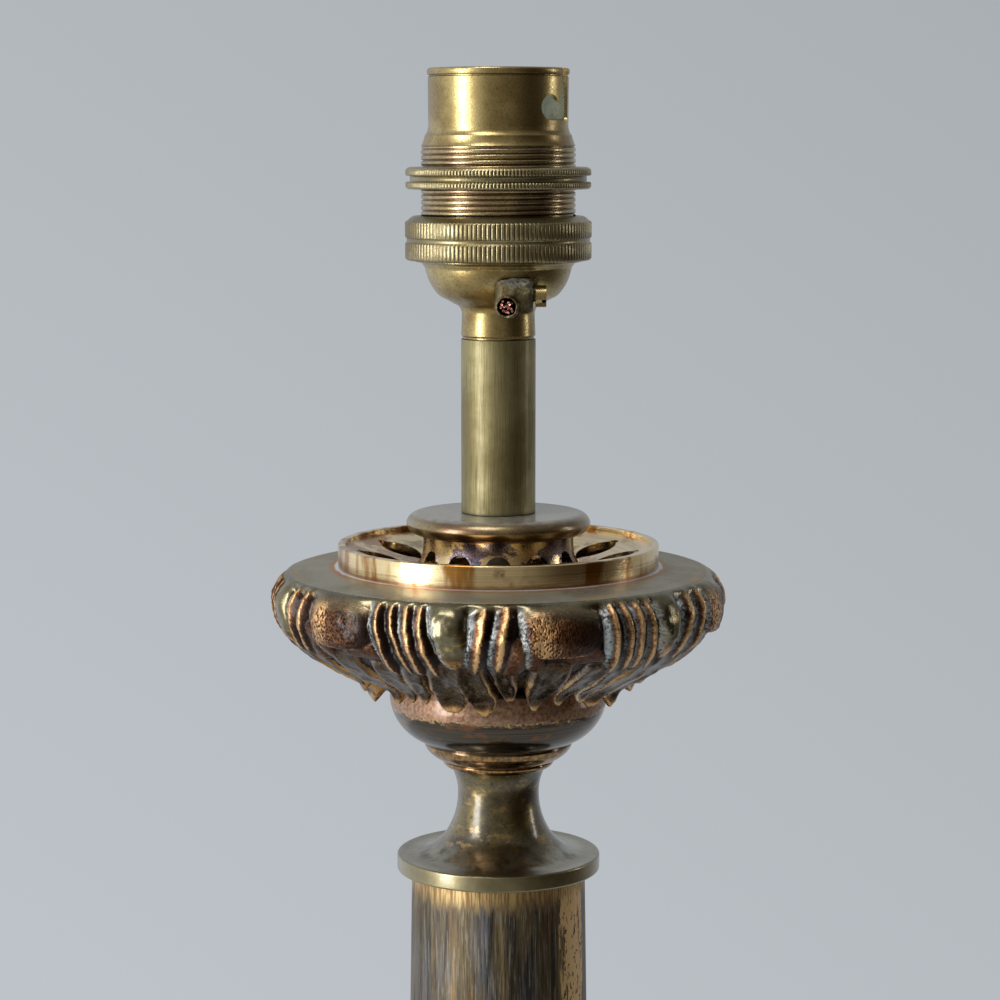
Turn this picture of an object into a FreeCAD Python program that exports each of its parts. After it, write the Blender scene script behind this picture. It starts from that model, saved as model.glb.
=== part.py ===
import FreeCAD, Part
import math
import os
from FreeCAD import Vector

# Column table lamp, converted from an old oil lamp: a bayonet lampholder on a stem, over a pierced
# gallery, an acanthus pan, a turned bowl and neck, a tapered column and a round foot.
# Millimetres, +Z up, origin at the middle of the felt on the table. The front faces -Y.
# Every piece stands on the one below it, and one hollow threaded rod ties the stack together.

# ------------------------------------------------------------------ clearances
fit_gap = 0.05                # turned spigots, liners and screwed fits
slide_gap = 0.07              # plungers in their sleeves, shade ring on its thread
rod_gap = 0.2                 # holes that the rod passes through

# ------------------------------------------------------------------ threaded rod, washer and nut
rod_radius = 5.0
rod_bore_radius = 3.5
rod_end_below_nut = 1.0
rod_end_in_cup = 0.4
washer_radius = 12.0
washer_thickness = 2.0
nut_across_flats = 17.0
nut_height = 6.0

# ------------------------------------------------------------------ felt, plate, weight and foot
felt_thickness = 1.5
felt_margin = 0.6
foot_radius = 65.0
foot_height = 66.0
foot_wall = 2.6
foot_edge_height = 13.0
foot_edge_chamfer = 1.0
foot_fillet = 1.5
foot_bead_inset = 3.0
foot_bead_height = 4.6
foot_sweep_top_radius = 36.0
foot_sweep_height = 22.0
foot_ovolo_height = 12.0
foot_ovolo_width = 7.0
foot_top_radius = 23.5
foot_web = 3.0
plate_thickness = 1.5
weight_gap = 6.4              # round the weight, inside the foot's wall
weight_rim_height = 12.0
weight_cone_gap = 7.4         # round the top of the weight's cone, inside the foot's waist
weight_cone_height = 26.0
weight_boss_radius = 16.0
nut_pocket_radius = 14.0
nut_pocket_depth = 11.0
cable_slot_width = 9.0
cable_slot_height = 9.0
plate_screw_circle = 40.0
plate_screw_count = 3
plate_screw_radius = 2.0
plate_screw_head_radius = 3.8
plate_screw_length = 9.0

# ------------------------------------------------------------------ cable bush
bush_height = 6.0
bush_radius = 4.2
bush_bore_radius = 3.2
bush_flange_radius = 5.4
bush_flange_thickness = 1.2
bush_inner_length = 1.4

# ------------------------------------------------------------------ column and its ring
ring_height = 13.5
ring_fillet = 1.5
ring_torus_height = 7.0
ring_radius = 24.5
ring_top_radius = 21.3
ring_spigot_radius = 12.0
spigot_length = 6.0
column_length = 240.0
column_top_radius = 16.1
column_foot_radius = 20.0
column_wall = 1.5
centring_disc_thickness = 8.0
centring_disc_place = 0.5     # share of the column's length, up from its foot

# ------------------------------------------------------------------ column cap: disc and waisted neck
disc_radius = 18.83
disc_thickness = 3.05
disc_edge_round = 0.4
cap_height = 19.4
neck_radius = 7.54
neck_top_radius = 8.8
neck_waist_height = 5.2       # below the bowl
neck_sweep_start = 8.1        # above the disc's underside
neck_sweep_radius = 9.0

# ------------------------------------------------------------------ turned bowl
bowl_height = 16.7
bowl_radius = 20.1
bowl_widest_height = 13.3
bowl_top_radius = 19.4
bowl_round_foot_radius = 14.9
bowl_round_foot_height = 5.2
bowl_step_radius = 13.9
bowl_step_height = 4.3
bowl_step_slope = 0.3
bowl_fillet_radius = 10.4
bowl_fillet_height = 1.4
bowl_fillet_thickness = 0.6
bowl_foot_radius = 9.2
bowl_wall = 2.2

# ------------------------------------------------------------------ acanthus pan
pan_height = 20.9
pan_floor = 2.4
pan_plate_thickness = 2.0
pan_plate_fall = 0.8          # the plate slopes down this much towards its edge
pan_plate_radius = 38.4
pan_hole_radius = 27.7
pan_cavity_radius = 37.6
pan_cavity_floor_radius = 25.0
pan_cavity_floor_rise = 0.6
pan_cavity_roof_inset = 2.0
leaf_top_below_plate = 1.4
# crest of the leaves, top to bottom: radius, height below the leaves' top, depth of the valleys
leaf_levels = [
    (39.6, 0.0, 0.5),
    (41.7, 2.2, 1.2),
    (42.06, 4.6, 1.4),
    (40.6, 8.9, 1.4),
    (36.4, 13.1, 1.2),
    (30.6, 15.9, 1.0),
    (25.6, 17.7, 0.8),
]
leaf_count = 6
leaf_turn = -12.0             # first smooth midrib lobe, degrees right of the front
# one leaf's lobes, widths in degrees: midrib, two ribs, the broad matted lobe, four ribs
lobe_widths = [10.0, 6.0, 7.5, 18.0, 4.5, 4.0, 4.0, 6.0]
lobe_bulge_limit = 0.5        # a narrow rib's height over half its width
# leaf tips under the rim: degrees from the midrib, width, reach below the rim
leaf_tips = [
    (-15.0, 3.0, 2.6),
    (-7.4, 4.9, 3.6),
    (4.3, 4.9, 3.6),
    (19.0, 2.8, 2.4),
    (29.6, 4.4, 3.4),
]
tip_root_radius = 31.0
tip_knee_radius = 26.6
tip_end_radius = 23.4
tip_thickness = 2.2
tip_root_rise = 2.6           # root of a tip above the rim's lowest level
tip_knee_drop = 0.6
tip_end_share = 0.3           # a tip's end, as a share of its width and thickness

# ------------------------------------------------------------------ gallery
gallery_radius = 29.44
gallery_wall = 1.4
gallery_height = 4.2
gallery_floor = 1.2
gallery_floor_upright = 1.44  # the same floor measured upright at the wall
gallery_floor_drop = 0.9      # floor below the wall's top, at the wall
gallery_seat_drop = 0.3       # collar's seat below the pan's plate
gallery_seat_radius = 15.6
gallery_hole_radius = 12.6
gallery_edge_round = 0.15
gallery_spigot_depth = 1.5
gallery_spigot_wall = 1.1
petal_count = 12
petal_inner_radius = 16.3
petal_outer_radius = 25.9
petal_width = 6.8
petal_end_radius = 1.1

# ------------------------------------------------------------------ collar, flange and stem
collar_height = 6.3
collar_top_radius = 14.0
collar_foot_radius = 15.3
collar_bore_radius = 12.35
collar_waist = 0.22           # bow of the side over its half length
arch_width = 4.7
arch_height = 3.8
flange_radius = 16.9
flange_flat_radius = 14.4
flange_thickness = 3.8
flange_boss_depth = 1.5
stem_radius = 6.8
stem_bore_radius = 5.6
stem_length = 31.86

# ------------------------------------------------------------------ lampholder cup and union ring
cup_height = 17.64
cup_neck_radius = 6.8
cup_seam_width = 0.6          # waisted seam over the stem
cup_seam_depth = 0.2
cup_neck_waist_radius = 6.63
cup_neck_height = 4.44
cup_shoulder_radius = 8.4
cup_shoulder_height = 6.64
cup_radius = 13.3
cup_round_height = 12.84
cup_lip_radius = 14.5
cup_lip_height = 13.99
cup_thread_radius = 15.1
cup_wall = 1.2
cup_bore_radius = 12.4
cup_bore_taper = 0.4
cup_floor_height = 7.94
union_height = 7.97
union_radius = 16.9
union_overlap = 3.4           # how far the ring hangs below the cup's rim
union_groove_radius = 16.57
union_groove_width = 0.4
union_groove_slope = 0.2
union_lower_band = 2.7
union_upper_band = 2.7
union_chamfer = 0.5
union_top_radius = 15.4

# ------------------------------------------------------------------ bayonet barrel
barrel_height = 31.0
barrel_radius = 12.68
barrel_bore_radius = 11.4
barrel_bore_depth = 9.2       # the bulb's bore; the barrel is wider inside below it
barrel_relief_radius = 11.7
barrel_relief_height = 1.5    # lower end of the relief, above the shoulder
barrel_lip_radius = 12.9
barrel_lip_height = 1.0
barrel_lip_slope = 0.15
barrel_lip_round = 0.3
barrel_shoulder_height = 17.1
barrel_flare_height = 4.5
barrel_flange_radius = 15.0
barrel_flange_height = 1.2
thread_radius = 14.0
skirt_wall = 1.6
slot_turn = 71.0              # middle of the entry slot, degrees right of the front
slot_width = 3.1
slot_depth = 9.4
pocket_length = 8.6           # from the entry's far side to the pocket's end
pocket_height = 4.7
land_depth = 5.8              # tip of the land between entry and pocket, below the rim

# ------------------------------------------------------------------ shade ring
shade_ring_height = 3.95
shade_ring_radius = 16.8
shade_ring_groove_radius = 16.0
shade_ring_groove_width = 1.16
shade_ring_flange = 1.26      # thickness of the lower flange
shade_ring_place = 9.42       # its underside above the barrel's bottom
shade_ring_chamfer = 0.2

# ------------------------------------------------------------------ contacts inside the lampholder
block_shoulder_height = 6.6
block_shoulder_step = 0.5     # shoulder wider than the cup's bore
block_edge_round = 0.6
block_depth = 15.5            # block's face below the barrel's rim
contact_offset = 4.8
sleeve_radius = 2.55
sleeve_bore_radius = 1.95
sleeve_floor_height = 3.2     # bottom of the sleeve's bore above the block's underside
terminal_drop = 4.8           # terminal below the block
terminal_hole_radius = 1.1
terminal_screw_radius = 0.9
terminal_screw_head_radius = 1.5
terminal_screw_head = 1.1
terminal_screw_tip = 0.44     # tip's distance from the sleeve's axis
plunger_length = 10.0
plunger_reach = 5.5           # tip above the block's face
plunger_dome = 0.7
plunger_flat = 0.6            # radius of the flat on the tip
spring_wire = 0.5

# ------------------------------------------------------------------ earth terminal on the cup
earth_place = 2.8             # right of the front
earth_out = 12.2              # in front of the axis
earth_height = 8.35           # above the cup's foot
earth_radius = 3.2
earth_length = 6.6
earth_bevel = 0.5
mouth_place = 1.9
mouth_drop = 1.5
mouth_radius = 2.1
mouth_reach = 3.5
mouth_left = 0.12             # slopes of the wire hole, to the left and downwards
mouth_down = 0.08
wire_hole_radius = 1.65
strand_radius = 0.42
strand_reach = 0.5            # strand ends stand back from the mouth
screw_neck_radius = 1.0
screw_neck = 0.5
screw_head_radius = 1.95
screw_head = 1.9
screw_slot_width = 0.6
screw_slot_depth = 0.8
screw_slot_turn = 25.0
screw_tip_gap = 0.4           # tip's distance from the wire hole

# ------------------------------------------------------------------ the stack, from the table up
z_foot = felt_thickness
z_ring = z_foot + foot_height
z_column = z_ring + ring_height
z_cap = z_column + column_length
z_bowl = z_cap + cap_height
z_pan = z_bowl + bowl_height
z_plate = z_pan + pan_height
z_collar = z_plate - gallery_seat_drop
z_flange = z_collar + collar_height
z_stem = z_flange + flange_thickness
z_cup = z_stem + stem_length
z_barrel = z_cup + cup_height
z_top = z_barrel + barrel_height
z_block_face = z_top - block_depth
z_weight = z_foot + plate_thickness
z_pocket = z_weight + nut_pocket_depth
z_rod = z_pocket - washer_thickness - nut_height - rod_end_below_nut
z_rod_top = z_cup + cup_floor_height - rod_end_in_cup
z_leaf = z_plate - leaf_top_below_plate

# the weight follows the foot round it
weight_radius = foot_radius - foot_wall - weight_gap
weight_cone_top_radius = foot_sweep_top_radius - foot_wall - weight_cone_gap

up = Vector(0, 0, 1)
origin = Vector(0, 0, 0)


# ------------------------------------------------------------------ drawing helpers
def outline(*points):
    """Closed face in the r, z half plane. A point is (r, z), or (r, z, bulge) when an arc leads to it:
    the bulge is the arc's height over half its chord, and more than 0 hollows the solid. The outer side
    is drawn upwards."""
    sides = []
    here = points[0]
    for there in points[1:] + points[:1]:
        start = Vector(here[0], 0, here[1])
        end = Vector(there[0], 0, there[1])
        bulge = there[2] if len(there) > 2 else 0.0
        if bulge:
            chord = end - start
            middle = (start + end) * 0.5 + Vector(-chord.z, 0, chord.x) * (0.5 * bulge)
            sides.append(Part.Arc(start, middle, end).toShape())
        else:
            sides.append(Part.makeLine(start, end))
        here = there
    return Part.Face(Part.Wire(sides))


def turned(*points):
    """Solid of revolution about the lamp's axis."""
    return outline(*points).revolve(origin, up, 360)


def place(radius, turn, z):
    """Point at a radius and a turn, in degrees right of the front."""
    angle = math.radians(turn)
    return Vector(radius * math.sin(angle), -radius * math.cos(angle), z)


def rod_hole(z_low, z_high):
    """Clearance hole for the rod, between two heights."""
    return Part.makeCylinder(rod_radius + rod_gap, z_high - z_low, Vector(0, 0, z_low), up)


def around(tool, count):
    """Copies of a tool, evenly spaced about the axis."""
    copies = []
    for index in range(count):
        copy = tool.copy()
        copy.rotate(origin, up, index * 360.0 / count)
        copies.append(copy)
    return copies


def column_inner_radius(height):
    """Inner radius of the column's taper at a height above its foot."""
    share = height / column_length
    return column_foot_radius + (column_top_radius - column_foot_radius) * share - column_wall


# ------------------------------------------------------------------ foot
def lamp_foot():
    """Turned round foot, a hollow casting: edge, bead, long sweep, ovolo and neck."""
    bead_radius = foot_radius - foot_bead_inset
    z_edge = z_foot + foot_edge_height
    z_bead = z_edge + foot_fillet
    z_sweep = z_bead + foot_bead_height + foot_fillet
    z_waist = z_sweep + foot_sweep_height
    z_ovolo = z_waist + foot_fillet + foot_ovolo_height
    ovolo_radius = foot_sweep_top_radius - foot_fillet
    neck_foot_radius = ovolo_radius - foot_ovolo_width - foot_fillet
    inner_edge_radius = foot_radius - foot_wall
    outer = turned(
        (0, z_foot),
        (foot_radius, z_foot),
        (foot_radius, z_edge - foot_edge_chamfer),
        (foot_radius - foot_edge_chamfer, z_edge),
        (bead_radius, z_edge),
        (bead_radius, z_bead),
        (bead_radius, z_bead + foot_bead_height, -0.6),
        (bead_radius - foot_fillet, z_bead + foot_bead_height),
        (bead_radius - foot_fillet, z_sweep),
        (foot_sweep_top_radius, z_waist, 0.42),
        (foot_sweep_top_radius, z_waist + foot_fillet),
        (ovolo_radius, z_waist + foot_fillet),
        (ovolo_radius - foot_ovolo_width, z_ovolo, -0.4),
        (ovolo_radius - foot_ovolo_width, z_ovolo + foot_fillet),
        (neck_foot_radius, z_ovolo + foot_fillet),
        (foot_top_radius, z_ring, 0.3),
        (0, z_ring),
    )
    hollow = turned(
        (0, z_foot),
        (inner_edge_radius, z_foot),
        (inner_edge_radius, z_edge - foot_wall),
        (bead_radius - foot_fillet - foot_wall, z_bead),
        (bead_radius - foot_fillet - foot_wall, z_sweep - foot_wall),
        (foot_sweep_top_radius - foot_wall, z_waist, 0.42),
        (ovolo_radius - foot_ovolo_width - foot_wall, z_ovolo),
        (foot_top_radius - foot_wall, z_ovolo + foot_fillet),
        (foot_top_radius - foot_wall, z_ring - foot_web),
        (0, z_ring - foot_web),
    )
    hub = Part.makeCylinder(ring_spigot_radius + fit_gap, foot_web, Vector(0, 0, z_ring - foot_web), up)
    return outer.cut(hollow).cut(hub).cut(cable_hole(bush_radius + fit_gap))


def cable_hole(radius):
    """Tool for a round hole through the back of the foot's edge."""
    start = Vector(0, foot_radius - 2 * foot_wall, z_foot + bush_height)
    return Part.makeCylinder(radius, 4 * foot_wall, start, Vector(0, 1, 0))


def cable_bush():
    """Flanged bush in the back of the foot, its flange hollowed to sit on the round edge."""
    axis = Vector(0, 1, 0)
    inner_end = foot_radius - foot_wall - bush_inner_length
    outer_end = foot_radius + bush_flange_thickness
    start = Vector(0, inner_end, z_foot + bush_height)
    body = Part.makeCylinder(bush_radius, outer_end - inner_end, start, axis)
    flange_start = Vector(0, foot_radius - foot_wall, z_foot + bush_height)
    flange = Part.makeCylinder(bush_flange_radius, outer_end - foot_radius + foot_wall, flange_start, axis)
    edge = Part.makeCylinder(foot_radius, foot_height, Vector(0, 0, z_foot), up)
    bore = Part.makeCylinder(bush_bore_radius, outer_end - inner_end, start, axis)
    return body.fuse(flange.cut(edge)).cut(bore).removeSplitter()


def base_weight():
    """Iron weight: rim, cone and a boss up to the foot's web, with a nut pocket and a cable slot."""
    z_rim = z_weight + weight_rim_height
    z_cone = z_rim + weight_cone_height
    body = turned(
        (0, z_weight),
        (weight_radius, z_weight),
        (weight_radius, z_rim),
        (weight_cone_top_radius, z_cone, 0.35),
        (weight_boss_radius, z_cone),
        (weight_boss_radius, z_ring - foot_web),
        (0, z_ring - foot_web),
    )
    pocket = Part.makeCylinder(nut_pocket_radius, nut_pocket_depth, Vector(0, 0, z_weight), up)
    slot_corner = Vector(-cable_slot_width / 2, 0, z_weight)
    slot = Part.makeBox(cable_slot_width, weight_radius + 1, cable_slot_height, slot_corner)
    body = body.cut(pocket).cut(slot).cut(rod_hole(z_weight, z_ring))
    for screw_hole in around(plate_screw_shank(plate_screw_radius + fit_gap), plate_screw_count):
        body = body.cut(screw_hole)
    return body


def plate_screw_shank(radius):
    """Shank of one base plate screw, or the tool for its hole."""
    return Part.makeCylinder(radius, plate_screw_length, place(plate_screw_circle, 0, z_foot), up)


def plate_screw_head(gap):
    """Countersunk head of one base plate screw, or the tool for its sink."""
    wide = plate_screw_head_radius + gap
    narrow = plate_screw_radius + gap
    return Part.makeCone(wide, narrow, plate_thickness, place(plate_screw_circle, 0, z_foot), up)


def base_plate():
    """Steel plate that closes the foot and keeps the weight in."""
    radius = foot_radius - foot_wall - 2 * fit_gap
    plate = Part.makeCylinder(radius, plate_thickness, Vector(0, 0, z_foot), up)
    sink = plate_screw_head(fit_gap).fuse(plate_screw_shank(plate_screw_radius + fit_gap))
    for tool in around(sink, plate_screw_count):
        plate = plate.cut(tool)
    return plate


def base_plate_screws():
    """Three countersunk screws, as separate solids."""
    screw = plate_screw_head(0).fuse(plate_screw_shank(plate_screw_radius)).removeSplitter()
    return Part.makeCompound(around(screw, plate_screw_count))


def felt_pad():
    """Felt disc under the foot."""
    return Part.makeCylinder(foot_radius - felt_margin, felt_thickness)


# ------------------------------------------------------------------ rod and what it clamps
def threaded_rod():
    """Hollow rod from the foot to the lampholder's cup; the flex runs through it."""
    length = z_rod_top - z_rod
    rod = Part.makeCylinder(rod_radius, length, Vector(0, 0, z_rod), up)
    return rod.cut(Part.makeCylinder(rod_bore_radius, length, Vector(0, 0, z_rod), up))


def rod_washer():
    """Washer between the nut and the weight."""
    z_low = z_pocket - washer_thickness
    washer = Part.makeCylinder(washer_radius, washer_thickness, Vector(0, 0, z_low), up)
    return washer.cut(rod_hole(z_low, z_pocket))


def rod_nut():
    """Hexagon nut that pulls the lamp together."""
    z_low = z_pocket - washer_thickness - nut_height
    corner = nut_across_flats / math.sqrt(3.0)
    corners = [place(corner, 60 * index, z_low) for index in range(7)]
    nut = Part.Face(Part.makePolygon(corners)).extrude(up * nut_height)
    return nut.cut(Part.makeCylinder(rod_radius + fit_gap, nut_height, Vector(0, 0, z_low), up))


# ------------------------------------------------------------------ column
def column_base_ring():
    """Turned ring under the column, with spigots down into the foot and up into the column."""
    z_torus = z_ring + ring_fillet
    z_fillet = z_torus + ring_torus_height
    spigot = column_inner_radius(0) - fit_gap
    spigot_top = column_inner_radius(spigot_length) - fit_gap
    body = turned(
        (0, z_ring - foot_web),
        (ring_spigot_radius, z_ring - foot_web),
        (ring_spigot_radius, z_ring),
        (ring_radius, z_ring),
        (ring_radius, z_torus),
        (ring_radius, z_fillet, -0.85),
        (ring_radius - ring_fillet, z_fillet),
        (ring_radius - ring_fillet, z_fillet + ring_fillet),
        (ring_top_radius, z_column, 0.35),
        (spigot, z_column),
        (spigot_top, z_column + spigot_length),
        (0, z_column + spigot_length),
    )
    return body.cut(rod_hole(z_foot, z_column + 2 * spigot_length))


def column_tube():
    """Tapered column, open at both ends."""
    return turned(
        (column_foot_radius - column_wall, z_column),
        (column_foot_radius, z_column),
        (column_top_radius, z_cap),
        (column_top_radius - column_wall, z_cap),
    )


def column_centring_disc():
    """Disc wedged in the column's taper; it keeps the rod in the middle."""
    z_low = z_column + centring_disc_place * column_length
    wide = column_inner_radius(z_low - z_column) - fit_gap
    narrow = column_inner_radius(z_low + centring_disc_thickness - z_column) - fit_gap
    disc = Part.makeCone(wide, narrow, centring_disc_thickness, Vector(0, 0, z_low), up)
    return disc.cut(rod_hole(z_low, z_low + centring_disc_thickness))


def column_cap():
    """Disc and waisted neck, turned from one bar, with a spigot down into the column."""
    z_disc = z_cap + disc_thickness
    spigot = column_inner_radius(column_length) - fit_gap
    body = turned(
        (0, z_cap - spigot_length),
        (spigot, z_cap - spigot_length),
        (spigot, z_cap),
        (disc_radius - disc_edge_round, z_cap),
        (disc_radius, z_cap + disc_edge_round, -0.41),
        (disc_radius, z_disc - disc_edge_round),
        (disc_radius - disc_edge_round, z_disc, -0.41),
        (neck_sweep_radius, z_cap + neck_sweep_start, 0.34),
        (neck_radius, z_bowl - neck_waist_height, 0.12),
        (neck_top_radius, z_bowl, 0.14),
        (0, z_bowl),
    )
    return body.cut(rod_hole(z_column, z_bowl))


# ------------------------------------------------------------------ bowl
def turned_bowl():
    """Bowl under the pan, with an ovolo step and a fillet at its foot; hollow, closed by the pan."""
    z_fillet = z_bowl + bowl_fillet_height - bowl_fillet_thickness
    z_step = z_bowl + bowl_step_height
    z_round = z_bowl + bowl_round_foot_height
    z_widest = z_bowl + bowl_widest_height
    body = turned(
        (0, z_bowl),
        (bowl_foot_radius, z_bowl),
        (bowl_fillet_radius, z_fillet, 0.2),
        (bowl_fillet_radius, z_bowl + bowl_fillet_height),
        (bowl_step_radius, z_step, 0.3),
        (bowl_step_radius, z_round - bowl_step_slope),
        (bowl_round_foot_radius, z_round),
        (bowl_radius, z_widest, -0.3),
        (bowl_top_radius, z_pan, -0.05),
        (0, z_pan),
    )
    hollow = turned(
        (0, z_step + bowl_wall),
        (bowl_round_foot_radius - bowl_wall, z_round + bowl_wall),
        (bowl_radius - bowl_wall, z_widest, -0.3),
        (bowl_top_radius - bowl_wall, z_pan),
        (0, z_pan),
    )
    return body.cut(hollow).cut(rod_hole(z_bowl, z_pan))


# ------------------------------------------------------------------ acanthus pan
def lobed_section(radius, z, depth):
    """Closed section through the leaves: one arc for each lobe, meeting in sharp valleys."""
    valley = radius - depth
    sides = []
    turn = leaf_turn - lobe_widths[0] / 2
    for leaf in range(leaf_count):
        for width in lobe_widths:
            half_chord = valley * math.radians(width) / 2
            crest = valley + min(depth, lobe_bulge_limit * half_chord)
            start = place(valley, turn, z)
            middle = place(crest, turn + width / 2, z)
            turn += width
            sides.append(Part.Arc(start, middle, place(valley, turn, z)).toShape())
    return Part.Wire(sides)


def leaf_tip(turn, width, reach):
    """One pointed leaf tip: a ridged blade from inside the rim down towards the bowl."""
    z_rim = z_leaf - leaf_levels[-1][1]
    stations = [
        (tip_root_radius, z_rim + tip_root_rise, width, tip_thickness),
        (tip_knee_radius, z_rim - tip_knee_drop, width, tip_thickness),
        (tip_end_radius, z_rim - reach, width * tip_end_share, tip_thickness * tip_end_share),
    ]
    sideways = place(1, turn + 90, 0)
    face_way = place(1, turn, -1)
    face_way.normalize()
    rings = []
    for radius, z, across, thick in stations:
        middle = place(radius, turn, z)
        side = sideways * (across / 2)
        face = face_way * (thick / 2)
        corners = [middle + face, middle + side, middle - face, middle - side]
        rings.append(Part.makePolygon(corners + corners[:1]))
    return Part.makeLoft(rings, True, True)


def leaf_pan():
    """Cast pan: sloping top plate, acanthus rim of lobes and ribs, leaf tips, hollow inside."""
    sections = [lobed_section(radius, z_leaf - drop, depth) for radius, drop, depth in leaf_levels]
    rim = Part.makeLoft(sections, True, False)
    low_radius, low_drop, low_depth = leaf_levels[-1]
    z_low = z_leaf - low_drop
    edge_radius = leaf_levels[0][0] - leaf_levels[0][2]
    plate = turned(
        (0, z_leaf),
        (edge_radius, z_leaf),
        (pan_plate_radius, z_plate - pan_plate_fall, -0.3),
        (gallery_radius, z_plate),
        (0, z_plate),
    )
    seat = turned(
        (0, z_pan),
        (bowl_top_radius, z_pan),
        (low_radius - low_depth, z_low),
        (0, z_low),
    )
    tips = []
    for turn, width, reach in leaf_tips:
        tips += around(leaf_tip(leaf_turn + turn, width, reach), leaf_count)
    body = rim.multiFuse([plate, seat] + tips)
    z_roof = z_plate - pan_plate_thickness - pan_plate_fall
    z_inside = z_pan + pan_floor
    cavity = turned(
        (0, z_inside),
        (bowl_top_radius, z_inside),
        (pan_cavity_floor_radius, z_low + pan_floor + pan_cavity_floor_rise),
        (pan_cavity_radius, z_leaf - leaf_levels[2][1], -0.45),
        (pan_plate_radius - pan_cavity_roof_inset, z_roof, -0.2),
        (pan_hole_radius, z_roof),
        (pan_hole_radius, z_plate),
        (0, z_plate),
    )
    return body.cut(cavity).cut(rod_hole(z_pan, z_plate))


# ------------------------------------------------------------------ gallery
def petal():
    """Tool for one air hole: a leaf-shaped prism, widest beyond its middle."""
    half = petal_width / 2
    middle = (petal_inner_radius + petal_outer_radius) / 2
    inner = petal_inner_radius + petal_end_radius
    outer = petal_outer_radius - petal_end_radius
    z_low = z_collar - 2 * gallery_floor
    left_inner = Vector(-petal_end_radius, -inner, z_low)
    right_inner = Vector(petal_end_radius, -inner, z_low)
    left_outer = Vector(-petal_end_radius, -outer, z_low)
    right_outer = Vector(petal_end_radius, -outer, z_low)
    sides = [
        Part.Arc(left_inner, Vector(0, -petal_inner_radius, z_low), right_inner).toShape(),
        Part.Arc(right_inner, Vector(half, -middle, z_low), right_outer).toShape(),
        Part.Arc(right_outer, Vector(0, -petal_outer_radius, z_low), left_outer).toShape(),
        Part.Arc(left_outer, Vector(-half, -middle, z_low), left_inner).toShape(),
    ]
    return Part.Face(Part.Wire(sides)).extrude(up * (3 * gallery_floor + gallery_height))


def gallery_ring():
    """Polished wall with a dished floor and twelve petal air holes."""
    z_wall = z_plate + gallery_height
    inner = gallery_radius - gallery_wall
    z_floor_edge = z_wall - gallery_floor_drop
    spigot = pan_hole_radius - fit_gap
    slope = (z_floor_edge - z_collar) / (inner - gallery_seat_radius)
    z_under = z_floor_edge - gallery_floor_upright - (inner - spigot + gallery_spigot_wall) * slope
    body = turned(
        (gallery_hole_radius, z_collar),
        (gallery_seat_radius, z_collar),
        (inner, z_floor_edge),
        (inner, z_wall - gallery_edge_round),
        (inner + gallery_edge_round, z_wall),
        (gallery_radius - gallery_edge_round, z_wall),
        (gallery_radius, z_wall - gallery_edge_round),
        (gallery_radius, z_plate),
        (spigot, z_plate),
        (spigot, z_plate - gallery_spigot_depth),
        (spigot - gallery_spigot_wall, z_plate - gallery_spigot_depth),
        (spigot - gallery_spigot_wall, z_under),
        (gallery_seat_radius, z_collar - gallery_floor),
        (gallery_hole_radius, z_collar - gallery_floor),
    )
    return body.cut(Part.makeCompound(around(petal(), petal_count)))


# ------------------------------------------------------------------ collar, flange and stem
def burner_collar():
    """Waisted collar on the gallery's floor, with an arch over each air hole."""
    body = turned(
        (collar_bore_radius, z_collar),
        (collar_foot_radius, z_collar),
        (collar_top_radius, z_flange, collar_waist),
        (collar_bore_radius, z_flange),
    )
    round_radius = arch_width / 2
    z_round = z_collar + arch_height - round_radius
    outward = Vector(0, -1, 0)
    head = Part.makeCylinder(round_radius, 2 * collar_foot_radius, Vector(0, 0, z_round), outward)
    leg_corner = Vector(-round_radius, -2 * collar_foot_radius, z_collar)
    leg = Part.makeBox(arch_width, 2 * collar_foot_radius, z_round - z_collar, leg_corner)
    return body.cut(Part.makeCompound(around(head.fuse(leg).removeSplitter(), petal_count)))


def stem_flange():
    """Round flange with a rolled edge and a boss that centres the collar."""
    z_flat = z_flange + flange_thickness
    boss = collar_bore_radius - fit_gap
    body = turned(
        (0, z_flange - flange_boss_depth),
        (boss, z_flange - flange_boss_depth),
        (boss, z_flange),
        (flange_flat_radius, z_flange),
        (flange_radius, z_flange + flange_thickness / 2, -0.4),
        (flange_flat_radius, z_flat, -0.4),
        (0, z_flat),
    )
    return body.cut(rod_hole(z_flange - flange_boss_depth, z_flat))


def stem_tube():
    """Plain tube from the flange to the lampholder."""
    tube = Part.makeCylinder(stem_radius, stem_length, Vector(0, 0, z_stem), up)
    return tube.cut(Part.makeCylinder(stem_bore_radius, stem_length, Vector(0, 0, z_stem), up))


# ------------------------------------------------------------------ lampholder
def cup_outer():
    """Outer form of the cup: neck, shoulder, round flank, lip and thread."""
    return turned(
        (0, z_cup),
        (cup_neck_radius - cup_seam_depth, z_cup),
        (cup_neck_radius, z_cup + cup_seam_width),
        (cup_neck_waist_radius, z_cup + cup_neck_height, 0.03),
        (cup_shoulder_radius, z_cup + cup_shoulder_height, 0.36),
        (cup_radius, z_cup + cup_round_height, -0.29),
        (cup_lip_radius, z_cup + cup_lip_height, 0.3),
        (cup_thread_radius, z_cup + cup_lip_height),
        (cup_thread_radius, z_barrel),
        (0, z_barrel),
    )


def bottom_cup():
    """Turned cup of the lampholder, screwed on the rod."""
    z_inside = z_cup + cup_floor_height
    z_round = z_cup + cup_round_height
    hollow = turned(
        (0, z_inside),
        (cup_shoulder_radius - cup_wall, z_inside),
        (cup_bore_radius - cup_bore_taper, z_round, -0.29),
        (cup_bore_radius, z_round + cup_wall),
        (cup_bore_radius, z_barrel),
        (0, z_barrel),
    )
    bore = Part.makeCylinder(rod_radius + fit_gap, cup_height, Vector(0, 0, z_cup), up)
    return cup_outer().cut(hollow).cut(bore)


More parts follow.
